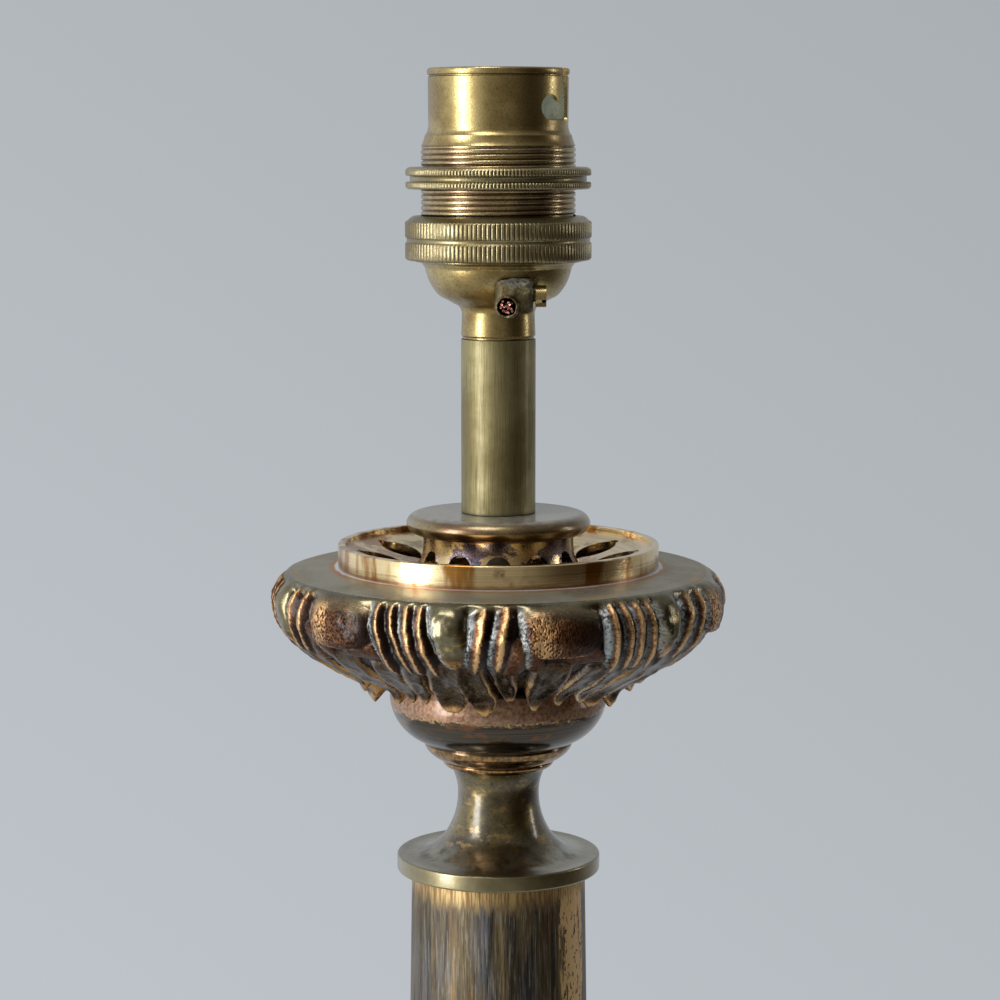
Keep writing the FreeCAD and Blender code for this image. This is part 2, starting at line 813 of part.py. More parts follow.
def union_ring():
    """Ring with two knurled bands; it screws on the cup and holds the barrel's flange down."""
    z_low = z_barrel - union_overlap
    z_high = z_low + union_height
    z_groove = z_low + union_chamfer + union_lower_band
    z_band = z_groove + union_groove_width + 2 * union_groove_slope
    z_bevel = z_band + union_upper_band
    bore = cup_thread_radius + 2 * fit_gap
    lip_bore = thread_radius + 3 * fit_gap
    z_lip = z_barrel + barrel_flange_height + fit_gap
    return turned(
        (bore, z_low),
        (union_radius - union_chamfer, z_low),
        (union_radius, z_low + union_chamfer),
        (union_radius, z_groove),
        (union_groove_radius, z_groove + union_groove_slope),
        (union_groove_radius, z_band - union_groove_slope),
        (union_radius, z_band),
        (union_radius, z_bevel),
        (union_top_radius, z_high, -0.12),
        (lip_bore, z_high),
        (lip_bore, z_lip),
        (bore, z_lip),
    )


def bayonet_slot():
    """Tool for one J slot: an entry from the rim, a channel, and a pocket that hooks back up."""
    reach = 2 * barrel_radius
    right = slot_width / 2
    left = right - pocket_length
    z_bottom = z_top - slot_depth
    z_land = z_top - land_depth
    round_radius = pocket_height / 2
    across = Vector(0, -1, 0)
    entry = Part.makeBox(slot_width, reach, slot_depth, Vector(-right, -reach, z_bottom))
    channel_width = right - left - round_radius
    channel_corner = Vector(left + round_radius, -reach, z_bottom)
    channel = Part.makeBox(channel_width, reach, z_land - z_bottom, channel_corner)
    pocket_centre = Vector(left + round_radius, 0, z_bottom + round_radius)
    pocket = Part.makeCylinder(round_radius, reach, pocket_centre, across)
    slot = entry.fuse([channel, pocket]).removeSplitter()
    slot.rotate(origin, up, slot_turn)
    return slot


def bayonet_barrel():
    """Barrel: rolled lip, two J slots, flare, thread for the shade ring and a clamped flange."""
    z_shoulder = z_barrel + barrel_shoulder_height
    z_tube = z_shoulder + barrel_flare_height
    skirt_bore = thread_radius - skirt_wall
    block_shoulder_bore = block_shoulder_radius() + 2 * fit_gap
    z_block_shoulder = z_barrel + block_shoulder_height + fit_gap
    z_lip = z_top - barrel_lip_height
    body = turned(
        (block_shoulder_bore, z_barrel),
        (barrel_flange_radius, z_barrel),
        (barrel_flange_radius, z_barrel + barrel_flange_height),
        (thread_radius, z_barrel + barrel_flange_height),
        (thread_radius, z_shoulder),
        (barrel_radius, z_tube, 0.1),
        (barrel_radius, z_lip),
        (barrel_lip_radius, z_lip + barrel_lip_slope),
        (barrel_lip_radius, z_top - barrel_lip_round),
        (barrel_lip_radius - barrel_lip_round, z_top, -0.41),
        (barrel_bore_radius, z_top),
        (barrel_bore_radius, z_top - barrel_bore_depth),
        (barrel_relief_radius, z_top - barrel_bore_depth),
        (barrel_relief_radius, z_shoulder + barrel_relief_height),
        (skirt_bore, z_shoulder),
        (skirt_bore, z_block_shoulder),
        (block_shoulder_bore, z_block_shoulder),
    )
    return body.cut(Part.makeCompound(around(bayonet_slot(), 2)))


def shade_ring():
    """Screwed ring that clamps a lampshade: two flanges that are knurled, with a groove between."""
    z_low = z_barrel + shade_ring_place
    z_groove = z_low + shade_ring_flange
    z_upper = z_groove + shade_ring_groove_width
    z_high = z_low + shade_ring_height
    bore = thread_radius + slide_gap
    edge = shade_ring_chamfer
    return turned(
        (bore, z_low),
        (shade_ring_radius - edge, z_low),
        (shade_ring_radius, z_low + edge),
        (shade_ring_radius, z_groove),
        (shade_ring_groove_radius, z_groove),
        (shade_ring_groove_radius, z_upper),
        (shade_ring_radius, z_upper),
        (shade_ring_radius, z_high - edge),
        (shade_ring_radius - edge, z_high),
        (bore, z_high),
    )


def block_shoulder_radius():
    """The insert's shoulder stands on the cup's rim, inside the barrel's skirt."""
    return cup_bore_radius + block_shoulder_step


def contact_place(side, z):
    """Axis of a contact, square to the line of the bulb's pins when they lie in the pockets."""
    pin_turn = slot_turn - math.degrees((pocket_length - slot_width) / barrel_radius)
    return place(side * contact_offset, pin_turn - 90, z)


def contact_block():
    """Porcelain insert with a bore for each contact sleeve."""
    radius = thread_radius - skirt_wall - 2 * fit_gap
    shoulder = block_shoulder_radius()
    z_shoulder = z_barrel + block_shoulder_height
    body = turned(
        (0, z_barrel),
        (shoulder, z_barrel),
        (shoulder, z_shoulder),
        (radius, z_shoulder),
        (radius, z_block_face - block_edge_round),
        (radius - block_edge_round, z_block_face, -0.41),
        (0, z_block_face),
    )
    height = z_block_face - z_barrel
    for side in (-1, 1):
        body = body.cut(Part.makeCylinder(sleeve_radius + fit_gap, height, contact_place(side, z_barrel), up))
    return body


def contact_sleeve(side):
    """Brass tube that guides the plunger, with its wire terminal below the block."""
    z_low = z_barrel - terminal_drop
    z_floor = z_barrel + sleeve_floor_height
    foot = contact_place(side, z_low)
    body = Part.makeCylinder(sleeve_radius, z_block_face - z_low, foot, up)
    bore = Part.makeCylinder(sleeve_bore_radius, z_block_face - z_floor, contact_place(side, z_floor), up)
    outward = contact_place(side, 0)
    outward.normalize()
    sideways = Vector(-outward.y, outward.x, 0)
    middle = contact_place(side, z_low + terminal_drop / 2)
    wire_start = middle - sideways * (2 * sleeve_radius)
    wire_hole = Part.makeCylinder(terminal_hole_radius, 4 * sleeve_radius, wire_start, sideways)
    screw_hole = Part.makeCylinder(terminal_screw_radius + fit_gap, 2 * sleeve_radius, middle, outward)
    return body.cut(bore).cut(wire_hole).cut(screw_hole)


def terminal_screws():
    """Clamp screw of each contact terminal, as two solids."""
    screws = []
    z_middle = z_barrel - terminal_drop / 2
    for side in (-1, 1):
        outward = contact_place(side, 0)
        outward.normalize()
        middle = contact_place(side, z_middle)
        tip = middle + outward * terminal_screw_tip
        seat = middle + outward * sleeve_radius
        shank_length = sleeve_radius + terminal_screw_head - terminal_screw_tip
        shank = Part.makeCylinder(terminal_screw_radius, shank_length, tip, outward)
        head = Part.makeCylinder(terminal_screw_head_radius, terminal_screw_head, seat, outward)
        screws.append(shank.fuse(head).removeSplitter())
    return Part.makeCompound(screws)


def contact_plunger(side):
    """Sprung contact with a domed tip."""
    z_tip = z_block_face + plunger_reach
    z_low = z_tip - plunger_length
    radius = sleeve_bore_radius - slide_gap
    pin = outline(
        (0, z_low),
        (radius, z_low),
        (radius, z_tip - plunger_dome),
        (plunger_flat, z_tip, -0.3),
        (0, z_tip),
    ).revolve(origin, up, 360)
    pin.translate(contact_place(side, 0))
    return pin


def plunger_spring(side):
    """Space of the coil spring behind a plunger."""
    z_low = z_barrel + sleeve_floor_height
    length = z_block_face + plunger_reach - plunger_length - z_low
    outer = sleeve_bore_radius - 2 * slide_gap
    foot = contact_place(side, z_low)
    spring = Part.makeCylinder(outer, length, foot, up)
    return spring.cut(Part.makeCylinder(outer - spring_wire, length, foot, up))


# ------------------------------------------------------------------ earth terminal
def mouth_axis():
    """The wire hole looks forward, a little down and to the left."""
    axis = Vector(-mouth_left, -1, -mouth_down)
    axis.normalize()
    return axis


def mouth_centre():
    """Middle of the wire hole, inside the terminal."""
    return Vector(mouth_place, -earth_out, z_cup + earth_height - mouth_drop)


def earth_terminal():
    """Cast post on the front of the cup: a barrel across, a mouth for the wire, a screw hole."""
    axis = Vector(1, 0, 0)
    centre = Vector(earth_place, -earth_out, z_cup + earth_height)
    start = centre - axis * (earth_length / 2)
    body = Part.makeCylinder(earth_radius, earth_length - earth_bevel, start + axis * earth_bevel, axis)
    bevel = Part.makeCone(earth_radius - earth_bevel, earth_radius, earth_bevel, start, axis)
    mouth = Part.makeCylinder(mouth_radius, mouth_reach, mouth_centre(), mouth_axis())
    body = body.fuse([bevel, mouth]).cut(cup_outer())
    hole = Part.makeCylinder(wire_hole_radius, 3 * mouth_reach, mouth_centre() - mouth_axis() * mouth_reach,
                             mouth_axis())
    screw_hole = Part.makeCylinder(screw_neck_radius + fit_gap, earth_length, centre, axis)
    return body.cut(hole).cut(screw_hole).removeSplitter()


def earth_clamp_screw():
    """Slotted screw in the terminal's right side."""
    axis = Vector(1, 0, 0)
    centre = Vector(earth_place, -earth_out, z_cup + earth_height)
    tip = Vector(mouth_place + wire_hole_radius + screw_tip_gap, centre.y, centre.z)
    seat = centre + axis * (earth_length / 2 + screw_neck)
    shank = Part.makeCylinder(screw_neck_radius, seat.x - tip.x, tip, axis)
    head = Part.makeCylinder(screw_head_radius, screw_head, seat, axis)
    slot_corner = seat + Vector(screw_head - screw_slot_depth, -2 * screw_head_radius, -screw_slot_width / 2)
    slot = Part.makeBox(screw_slot_depth, 4 * screw_head_radius, screw_slot_width, slot_corner)
    slot.rotate(seat, axis, screw_slot_turn)
    return shank.fuse(head).removeSplitter().cut(slot)


def earth_strands():
    """Cut ends of the copper strands in the wire hole: one in the middle, six round it."""
    axis = mouth_axis()
    start = mouth_centre()
    length = mouth_reach - strand_reach
    strands = []
    side = axis.cross(up)
    side.normalize()
    rise = side.cross(axis)
    strands.append(Part.makeCylinder(strand_radius, length, start, axis))
    for index in range(6):
        angle = math.radians(60 * index)
        offset = side * math.cos(angle) + rise * math.sin(angle)
        middle = start + offset * (2 * strand_radius + fit_gap)
        strands.append(Part.makeCylinder(strand_radius, length, middle, axis))
    return Part.makeCompound(strands)


# ------------------------------------------------------------------ write one file for each piece
pieces = {
    "felt_pad": felt_pad(),
    "base_plate": base_plate(),
    "base_plate_screws": base_plate_screws(),
    "base_weight": base_weight(),
    "rod_washer": rod_washer(),
    "rod_nut": rod_nut(),
    "threaded_rod": threaded_rod(),
    "lamp_foot": lamp_foot(),
    "cable_bush": cable_bush(),
    "column_base_ring": column_base_ring(),
    "column_tube": column_tube(),
    "column_centring_disc": column_centring_disc(),
    "column_cap": column_cap(),
    "turned_bowl": turned_bowl(),
    "leaf_pan": leaf_pan(),
    "gallery_ring": gallery_ring(),
    "burner_collar": burner_collar(),
    "stem_flange": stem_flange(),
    "stem_tube": stem_tube(),
    "bottom_cup": bottom_cup(),
    "earth_terminal": earth_terminal(),
    "earth_clamp_screw": earth_clamp_screw(),
    "earth_strands": earth_strands(),
    "union_ring": union_ring(),
    "bayonet_barrel": bayonet_barrel(),
    "shade_ring": shade_ring(),
    "contact_block": contact_block(),
    "contact_sleeve_left": contact_sleeve(1),
    "contact_sleeve_right": contact_sleeve(-1),
    "contact_plunger_left": contact_plunger(1),
    "contact_plunger_right": contact_plunger(-1),
    "plunger_spring_left": plunger_spring(1),
    "plunger_spring_right": plunger_spring(-1),
    "terminal_screws": terminal_screws(),
}

for name, shape in pieces.items():
    shape.exportStep("parts/" + name + ".step")
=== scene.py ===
import bmesh
import bpy
import math
import random
from mathutils import Matrix, Vector, noise


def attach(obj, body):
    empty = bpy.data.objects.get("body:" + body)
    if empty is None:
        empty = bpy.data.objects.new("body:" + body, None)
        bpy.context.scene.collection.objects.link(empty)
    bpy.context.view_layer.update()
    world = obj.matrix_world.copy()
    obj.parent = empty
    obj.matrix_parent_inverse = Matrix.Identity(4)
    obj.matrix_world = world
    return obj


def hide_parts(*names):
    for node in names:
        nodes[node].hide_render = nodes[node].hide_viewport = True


# Column table lamp: the looks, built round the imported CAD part. Metres in Blender; the tables of
# profiles and places below are in millimetres, in the CAD's frame: +Z up, the front faces -Y.
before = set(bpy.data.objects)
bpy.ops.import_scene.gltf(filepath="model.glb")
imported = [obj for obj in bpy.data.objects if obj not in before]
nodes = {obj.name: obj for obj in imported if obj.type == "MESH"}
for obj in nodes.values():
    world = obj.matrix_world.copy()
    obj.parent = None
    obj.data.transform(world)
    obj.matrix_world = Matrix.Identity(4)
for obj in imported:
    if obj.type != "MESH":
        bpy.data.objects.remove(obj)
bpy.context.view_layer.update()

MM = 0.001
# heights of the stack, as the CAD has them
Z_COLUMN, Z_CAP, Z_BOWL, Z_PAN, Z_PLATE = 81.0, 321.0, 340.4, 357.1, 378.0
Z_FLANGE, Z_STEM, Z_CUP, Z_BARREL, Z_TOP = 384.0, 387.8, 419.66, 437.3, 468.3


# -------- materials
# Kinds of node: type, settings, inputs in the order they are given, and output (None: all of them)
MIX = "Mix", {"data_type": "RGBA"}, (0, 6, 7), 2            # share of the second, first, second
RISE = "MapRange", {"interpolation_type": "SMOOTHSTEP"}, (0, 1, 2, 3, 4), 0   # value, from, to
TIMES = "Math", {"operation": "MULTIPLY"}, (0, 1), 0
PLUS = "Math", {"operation": "MULTIPLY_ADD"}, (2, 0, 1), 0  # first + second * factor
DOT = "VectorMath", {"operation": "DOT_PRODUCT"}, (0, 1), 1
LENGTH = "VectorMath", {"operation": "LENGTH"}, (0,), 1
UNIT = "VectorMath", {"operation": "NORMALIZE"}, (0,), 0
PARTS = "SeparateXYZ", {}, (0,), None
PLACE = "TexCoord", {}, (), "Object"
MAPPING = "Mapping", {}, (0, 3, 1), 0                       # vector, scale, offset
NORMAL = "NewGeometry", {}, (), "Normal"
NOISE = "TexNoise", {}, ("Vector", "Detail", "Roughness", "Scale"), 0
CELLS = "TexVoronoi", {}, ("Vector", "Scale"), 0
CRACKS = "TexVoronoi", {"feature": "DISTANCE_TO_EDGE"}, ("Vector", "Scale"), 0
WAVES = "TexWave", {"bands_direction": "Y"}, ("Vector", "Scale", "Distortion", "Detail"), 1
OPEN_AIR = "AmbientOcclusion", {"samples": 8}, ("Distance",), 1
BUMP = "Bump", {}, ("Height", "Distance"), 0


def colour(code):
    """Linear colour from an sRGB hex value."""
    channels = [int(code[i:i + 2], 16) / 255 for i in (0, 2, 4)]
    linear = [c / 12.92 if c <= 0.04045 else ((c + 0.055) / 1.055) ** 2.4 for c in channels]
    return (*linear, 1.0)


class Drawing:
    """The nodes of a material or of the world."""

    def __init__(self, data):
        data.use_nodes = True
        self.data, self.tree = data, data.node_tree
        self.tree.nodes.clear()

    def add(self, kind, *inputs):
        """Adds a node with settings and links. An input is a value, a hex colour or a socket."""
        name, settings, order, output = kind
        node = self.tree.nodes.new("ShaderNode" + name)
        for setting, value in settings.items():
            setattr(node, setting, value)
        self.join(node, zip(order, inputs))
        return node.outputs if output is None else node.outputs[output]

    def join(self, node, inputs):
        """Sets or links a node's inputs."""
        for name, value in inputs:
            if isinstance(value, bpy.types.NodeSocket):
                self.tree.links.new(value, node.inputs[name])
            else:
                node.inputs[name].default_value = colour(value) if isinstance(value, str) else value

    def coats(self, base, *coats):
        """Colours laid over a base one after the other, each by its share."""
        for share, over in coats:
            base = self.add(MIX, share, base, over)
        return base


class Finish(Drawing):
    """A material, with its shader and the patterns that most of them are drawn from."""

    def __init__(self, name):
        super().__init__(bpy.data.materials.new(name))
        surface = self.add(("BsdfPrincipled", {}, (), 0))
        self.shader = surface.node
        self.add(("OutputMaterial", {}, (0,), None), surface)

    def pattern(self, scale, detail=3.0, rough=0.55, offset=(0, 0, 0)):
        """Noise with features 1/scale mm across along each axis of the object."""
        size = [s / MM for s in scale] if isinstance(scale, tuple) else [scale / MM] * 3
        return self.add(NOISE, self.add(MAPPING, self.add(PLACE), size, offset), detail, rough, 1.0)

    def height(self):
        """Height above the table, in millimetres."""
        return self.add(TIMES, self.add(PARTS, self.add(PLACE))[2], 1 / MM)

    def upward(self, low, high):
        """0 to 1 as a face turns upwards."""
        return self.add(RISE, self.add(PARTS, self.add(NORMAL))[2], low, high)

    def corners(self, reach, low, high, share):
        """Dirt and painted shade in corners: 0 in the open, up to a share in corners of a reach in
        mm.
        """
        return self.add(RISE, self.add(OPEN_AIR, reach * MM), low, high, share, 0.0)

    def shade(self, **inputs):
        """Sets or links the shader's inputs: base_color is its Base Color."""
        self.join(self.shader, [(name.replace("_", " ").title(), inputs[name]) for name in inputs])
        return self


def worn_brass(name, gold, brown, dark, patch=0.12, grain=3.0, speck=4.0, specks=0.35,
               rough=(0.26, 0.44), dirt_and_shade_reach=1.2, relief=0.012, lacquer=0.4):
    """Old lacquered brass: patches of gold and brown, fine dark specks, dirt and painted shade in
    the corners.
    patch, grain and speck are how many of each go to a millimetre."""
    m = Finish(name)
    patches, fine = m.pattern(patch, 4.0, 0.6), m.pattern(grain, 3.0, 0.6)
    spots = m.pattern(speck, 2.0, 0.5)
    m.base = m.coats(
        gold, (m.add(RISE, patches, 0.38, 0.64), brown),
        (m.add(RISE, fine, 0.42, 0.75, 0.0, 0.55), dark),
        (m.add(RISE, spots, 0.60, 0.72, 0.0, specks), dark),
        # dirt and painted shade: near-black in occluded corners
        (m.corners(dirt_and_shade_reach, 0.35, 0.85, 0.9), "1b150d"))
    wear = m.add(PLUS, m.add(TIMES, fine, 0.6), patches, 0.4)
    return m.shade(
        base_color=m.base, metallic=1.0, roughness=m.add(RISE, wear, 0.3, 0.7, *rough),
        normal=m.add(BUMP, fine, relief * MM), coat_weight=lacquer, coat_roughness=0.2)


def flange_bronze():
    """Spun bronze flange: brown and olive, dull with dust on its top."""
    m = worn_brass(
        "spun_flange_bronze", "978559", "765c3c", "2f2519", patch=0.10, rough=(0.24, 0.4),
        dirt_and_shade_reach=0.8, lacquer=0.9)
    dust = m.add(TIMES, m.upward(0.7, 0.97), m.add(RISE, m.pattern(0.5), 0.3, 0.7, 0.5, 0.95))
    return m.shade(
        base_color=m.coats(m.base, (dust, "93918a")),
        roughness=m.add(RISE, dust, 0.0, 1.0, 0.34, 0.6),
        metallic=m.add(RISE, dust, 0.0, 1.0, 1.0, 0.45))


def collar_bronze():
    """Collar with its old purple-brown patina and ragged patches of gilding; painted light sets
    most of the gilding on the lit left and front, and painted shade darkens the right and back."""
    m = Finish("patinated_collar_bronze")
    # painted light: the gilding leans towards the key light on the left and front, dark to the
    # right and back
    facing = m.add(DOT, m.add(PLACE), (-0.8, -0.6, 0.0))
    ragged = m.add(PLUS, m.pattern((0.13, 0.13, 0.20), 6.0, 0.6, (2.6, 1.9, 0.3)), facing, 4.5)
    fine = m.pattern(2.5, 3.0, 0.6)
    gilding = m.coats("f0dcae", (fine, "c89f60"))
    # painted shade: dark on the right and back, and near-black in corners with dirt
    base = m.coats(
        "837b8a", (m.add(RISE, fine, 0.35, 0.7), "54454a"),
        (m.add(RISE, ragged, 0.42, 0.36), "3d2c28"), (m.add(RISE, ragged, 0.515, 0.54), gilding),
        (m.corners(2.0, 0.3, 0.8, 0.9), "1b120c"))
    return m.shade(
        base_color=base, metallic=1.0, roughness=m.add(RISE, fine, 0.3, 0.7, 0.18, 0.32),
        normal=m.add(BUMP, fine, 0.02 * MM), coat_weight=0.6, coat_roughness=0.15)


def gallery_brass():
    """Polished brass, lacquered: bright gold with lines round it, brown blots and a copper foot."""
    m = Finish("polished_gallery_brass")
    patches = m.pattern((0.16, 0.16, 0.03), 4.0, 0.55, (3.1, 0.4, 0))
    lines = m.pattern((0.03, 0.03, 4.0), 3.0, 0.6)
    blots = m.add(RISE, m.pattern((0.15, 0.15, 0.13), 3.0, 0.55, (7.7, 2.0, 0)), 0.58, 0.68)
    spots = m.add(RISE, m.pattern(2.6, 3.0, 0.6), 0.42, 0.56, 0.35, 0.8)
    mark = m.add(TIMES, blots, spots)
    ragged = m.add(PLUS, m.height(), m.pattern(0.4), 1.2)
    base = m.coats(
        "f4dba6", (m.add(RISE, patches, 0.50, 0.62), "ab7428"),
        (m.add(RISE, lines, 0.45, 0.75, 0.0, 0.35), "7a4f1e"), (mark, "6a4c28"),
        # dirt and painted shade: dark in occluded corners
        (m.corners(2.2, 0.2, 0.7, 0.8), "2a2018"),
        (m.add(RISE, ragged, Z_PLATE + 0.7, Z_PLATE + 1.5, 0.75, 0.0), "9a6238"))
    return m.shade(
        base_color=base, metallic=1.0, roughness=m.add(RISE, mark, 0.0, 1.0, 0.22, 0.42),
        normal=m.add(BUMP, lines, 0.03 * MM), coat_weight=0.5, coat_roughness=0.18)


def turned_bronze():
    """Turned neck and disc: dark lacquer over bronze, rubbed through to gold in patches; the disc's
    rim worn to olive, its top grey with dust."""
    m = worn_brass(
        "lacquered_neck_bronze", "77683f", "494131", "231f19", patch=0.16, grain=(1.6, 1.6, 2.0),
        speck=1.2, specks=0.7, rough=(0.28, 0.42), dirt_and_shade_reach=1.0, lacquer=1.0)
    gilt = m.pattern((0.28, 0.28, 0.5), 5.0, 0.65, (5.1, 3.3, 0.7))
    gilt = m.add(RISE, gilt, 0.54, 0.66, 0.0, 0.8)
    rim = m.add(RISE, m.height(), Z_CAP + 3.3, Z_CAP + 2.9, 0.0, 0.9)
    olive = m.coats("a0946c", (m.pattern(0.5, 4.0), "6f6646"))
    dust = m.add(TIMES, m.add(RISE, m.height(), Z_CAP + 6.5, Z_CAP + 3.6),
                 m.add(RISE, m.pattern(0.35, 4.0), 0.33, 0.6))
    dust = m.add(TIMES, dust, m.add(RISE, m.height(), Z_CAP + 2.9, Z_CAP + 3.2, 0.0, 0.85))
    base = m.coats(m.base, (gilt, "a98a52"), (rim, olive), (dust, "a8a593"))
    return m.shade(base_color=base, coat_roughness=0.17)


def bowl_bronze():
    """The bowl: coppery and matt above, under the leaves; dark and glossy below a ragged gold
    edge."""
    m = Finish("turned_bowl_bronze")
    ragged = m.add(PLUS, m.height(), m.pattern((0.35, 0.35, 0.6), 5.0, 0.7), 3.4)
    edge_height = Z_BOWL + 13.2
    upper = m.add(RISE, ragged, edge_height, edge_height + 0.5)
    fine = m.pattern(1.3, 4.0, 0.65)
    lines = m.add(RISE, m.pattern((0.03, 0.03, 4.0), 2.0, 0.6), 0.35, 0.7)
    grey = m.add(RISE, m.pattern(0.5, 4.0, 0.6, (0, 2, 1)), 0.5, 0.66, 0.0, 0.4)
    rusty = m.add(RISE, m.pattern((0.3, 0.3, 0.6), 4.0, 0.6), 0.52, 0.66, 0.0, 0.7)
    copper = m.coats("a98466", (m.add(RISE, fine, 0.35, 0.65), "75523c"), (grey, "857a6a"))
    edge = m.add(TIMES, m.add(RISE, ragged, edge_height - 0.4, edge_height),
                 m.add(RISE, ragged, edge_height + 0.6, edge_height + 0.2))
    edge = m.add(TIMES, edge, m.add(RISE, fine, 0.44, 0.62))
    steps = m.add(
        TIMES, m.add(RISE, m.height(), Z_BOWL + 5.2, Z_BOWL + 4.2),
        m.add(RISE, fine, 0.4, 0.6, 0.2, 0.9))
    base = m.coats(
        "54493a", (lines, "2a231c"), (rusty, "7d4f28"), (upper, copper), (edge, "c8a468"),
        # dirt and painted shade: dark in occluded corners
        (steps, "b98a4c"), (m.corners(1.5, 0.3, 0.8, 0.85), "20160f"))
    return m.shade(
        base_color=base, roughness=m.add(RISE, upper, 0.0, 1.0, 0.15, 0.5),
        metallic=m.add(RISE, upper, 0.0, 1.0, 1.0, 0.7), normal=m.add(BUMP, fine, 0.02 * MM),
        coat_weight=0.5, coat_roughness=0.15)


def column_brass():
    """Old gilt column, rubbed and tarnished in fine streaks: slate, olive and brown, with a gilt
    zone under the disc, more gilding left low down, and a bare gold band with dark pits right of
    the front that is also a painted reflection of the light on the right."""
    m = Finish("streaked_column_brass")
    broad = m.pattern((0.10, 0.10, 0.014), 3.0, 0.6, (1.3, 0.2, 0))
    streaks = m.pattern((0.55, 0.55, 0.03), 4.0, 0.65)
    scratches = m.pattern((3.0, 3.0, 0.14), 3.0, 0.7)
    rusty = m.pattern((0.4, 0.4, 0.025), 3.0, 0.6, (6.0, 1.0, 0))
    pits = m.pattern((1.6, 1.6, 0.8), 3.0, 0.6, (4.0, 0, 0))
    outward = m.add(UNIT, m.add(MAPPING, m.add(PLACE), (1.0, 1.0, 0.0)))
    # painted reflection: bare gold with dark pits where the column faces the light on the right
    facing = m.add(DOT, outward, (0.85, -0.53, 0.0))
    bare_gold_and_reflection = m.add(PLUS, facing, m.pattern((0.7, 0.7, 0.10), 4.0, 0.7), 0.12)
    gold = m.coats("d6b27c", (m.add(RISE, pits, 0.56, 0.62), "3a2c1c"))
    low = m.add(RISE, m.height(), Z_CAP - 36.0, Z_CAP - 86.0)
    left = m.add(PLUS, streaks, m.pattern((0.07, 0.07, 0.02), 3.0), 1.0)
    left = m.add(TIMES, low, m.add(RISE, left, 0.92, 1.12, 0.0, 0.75))
    ragged = m.add(PLUS, m.height(), m.pattern((0.6, 0.6, 0.12), 4.0, 0.7), 7.0)
    gilt = m.coats("c9ad74", (m.add(RISE, scratches, 0.4, 0.6), "8b6435"))
    base = m.coats(
        "62646a", (m.add(RISE, broad, 0.36, 0.54), "5c4e36"),
        (m.add(RISE, streaks, 0.46, 0.62, 0.0, 0.85), "2a2622"),
        (m.add(RISE, streaks, 0.42, 0.32, 0.0, 0.8), "857045"),
        (m.add(RISE, rusty, 0.54, 0.68, 0.0, 0.6), "6e4a28"),
        (m.add(RISE, scratches, 0.52, 0.66, 0.0, 0.7), "8d8776"),
        (m.add(RISE, scratches, 0.46, 0.34, 0.0, 0.7), "1e1b18"),
        (m.add(RISE, bare_gold_and_reflection, 1.035, 1.045), gold), (left, "9a8352"),
        (m.add(RISE, ragged, Z_CAP - 1.6, Z_CAP + 2.6, 0.0, 0.9), gilt))
    return m.shade(
        base_color=base, metallic=0.85, roughness=m.add(RISE, scratches, 0.3, 0.7, 0.44, 0.6),
        normal=m.add(BUMP, scratches, 0.03 * MM), coat_weight=0.25, coat_roughness=0.35)


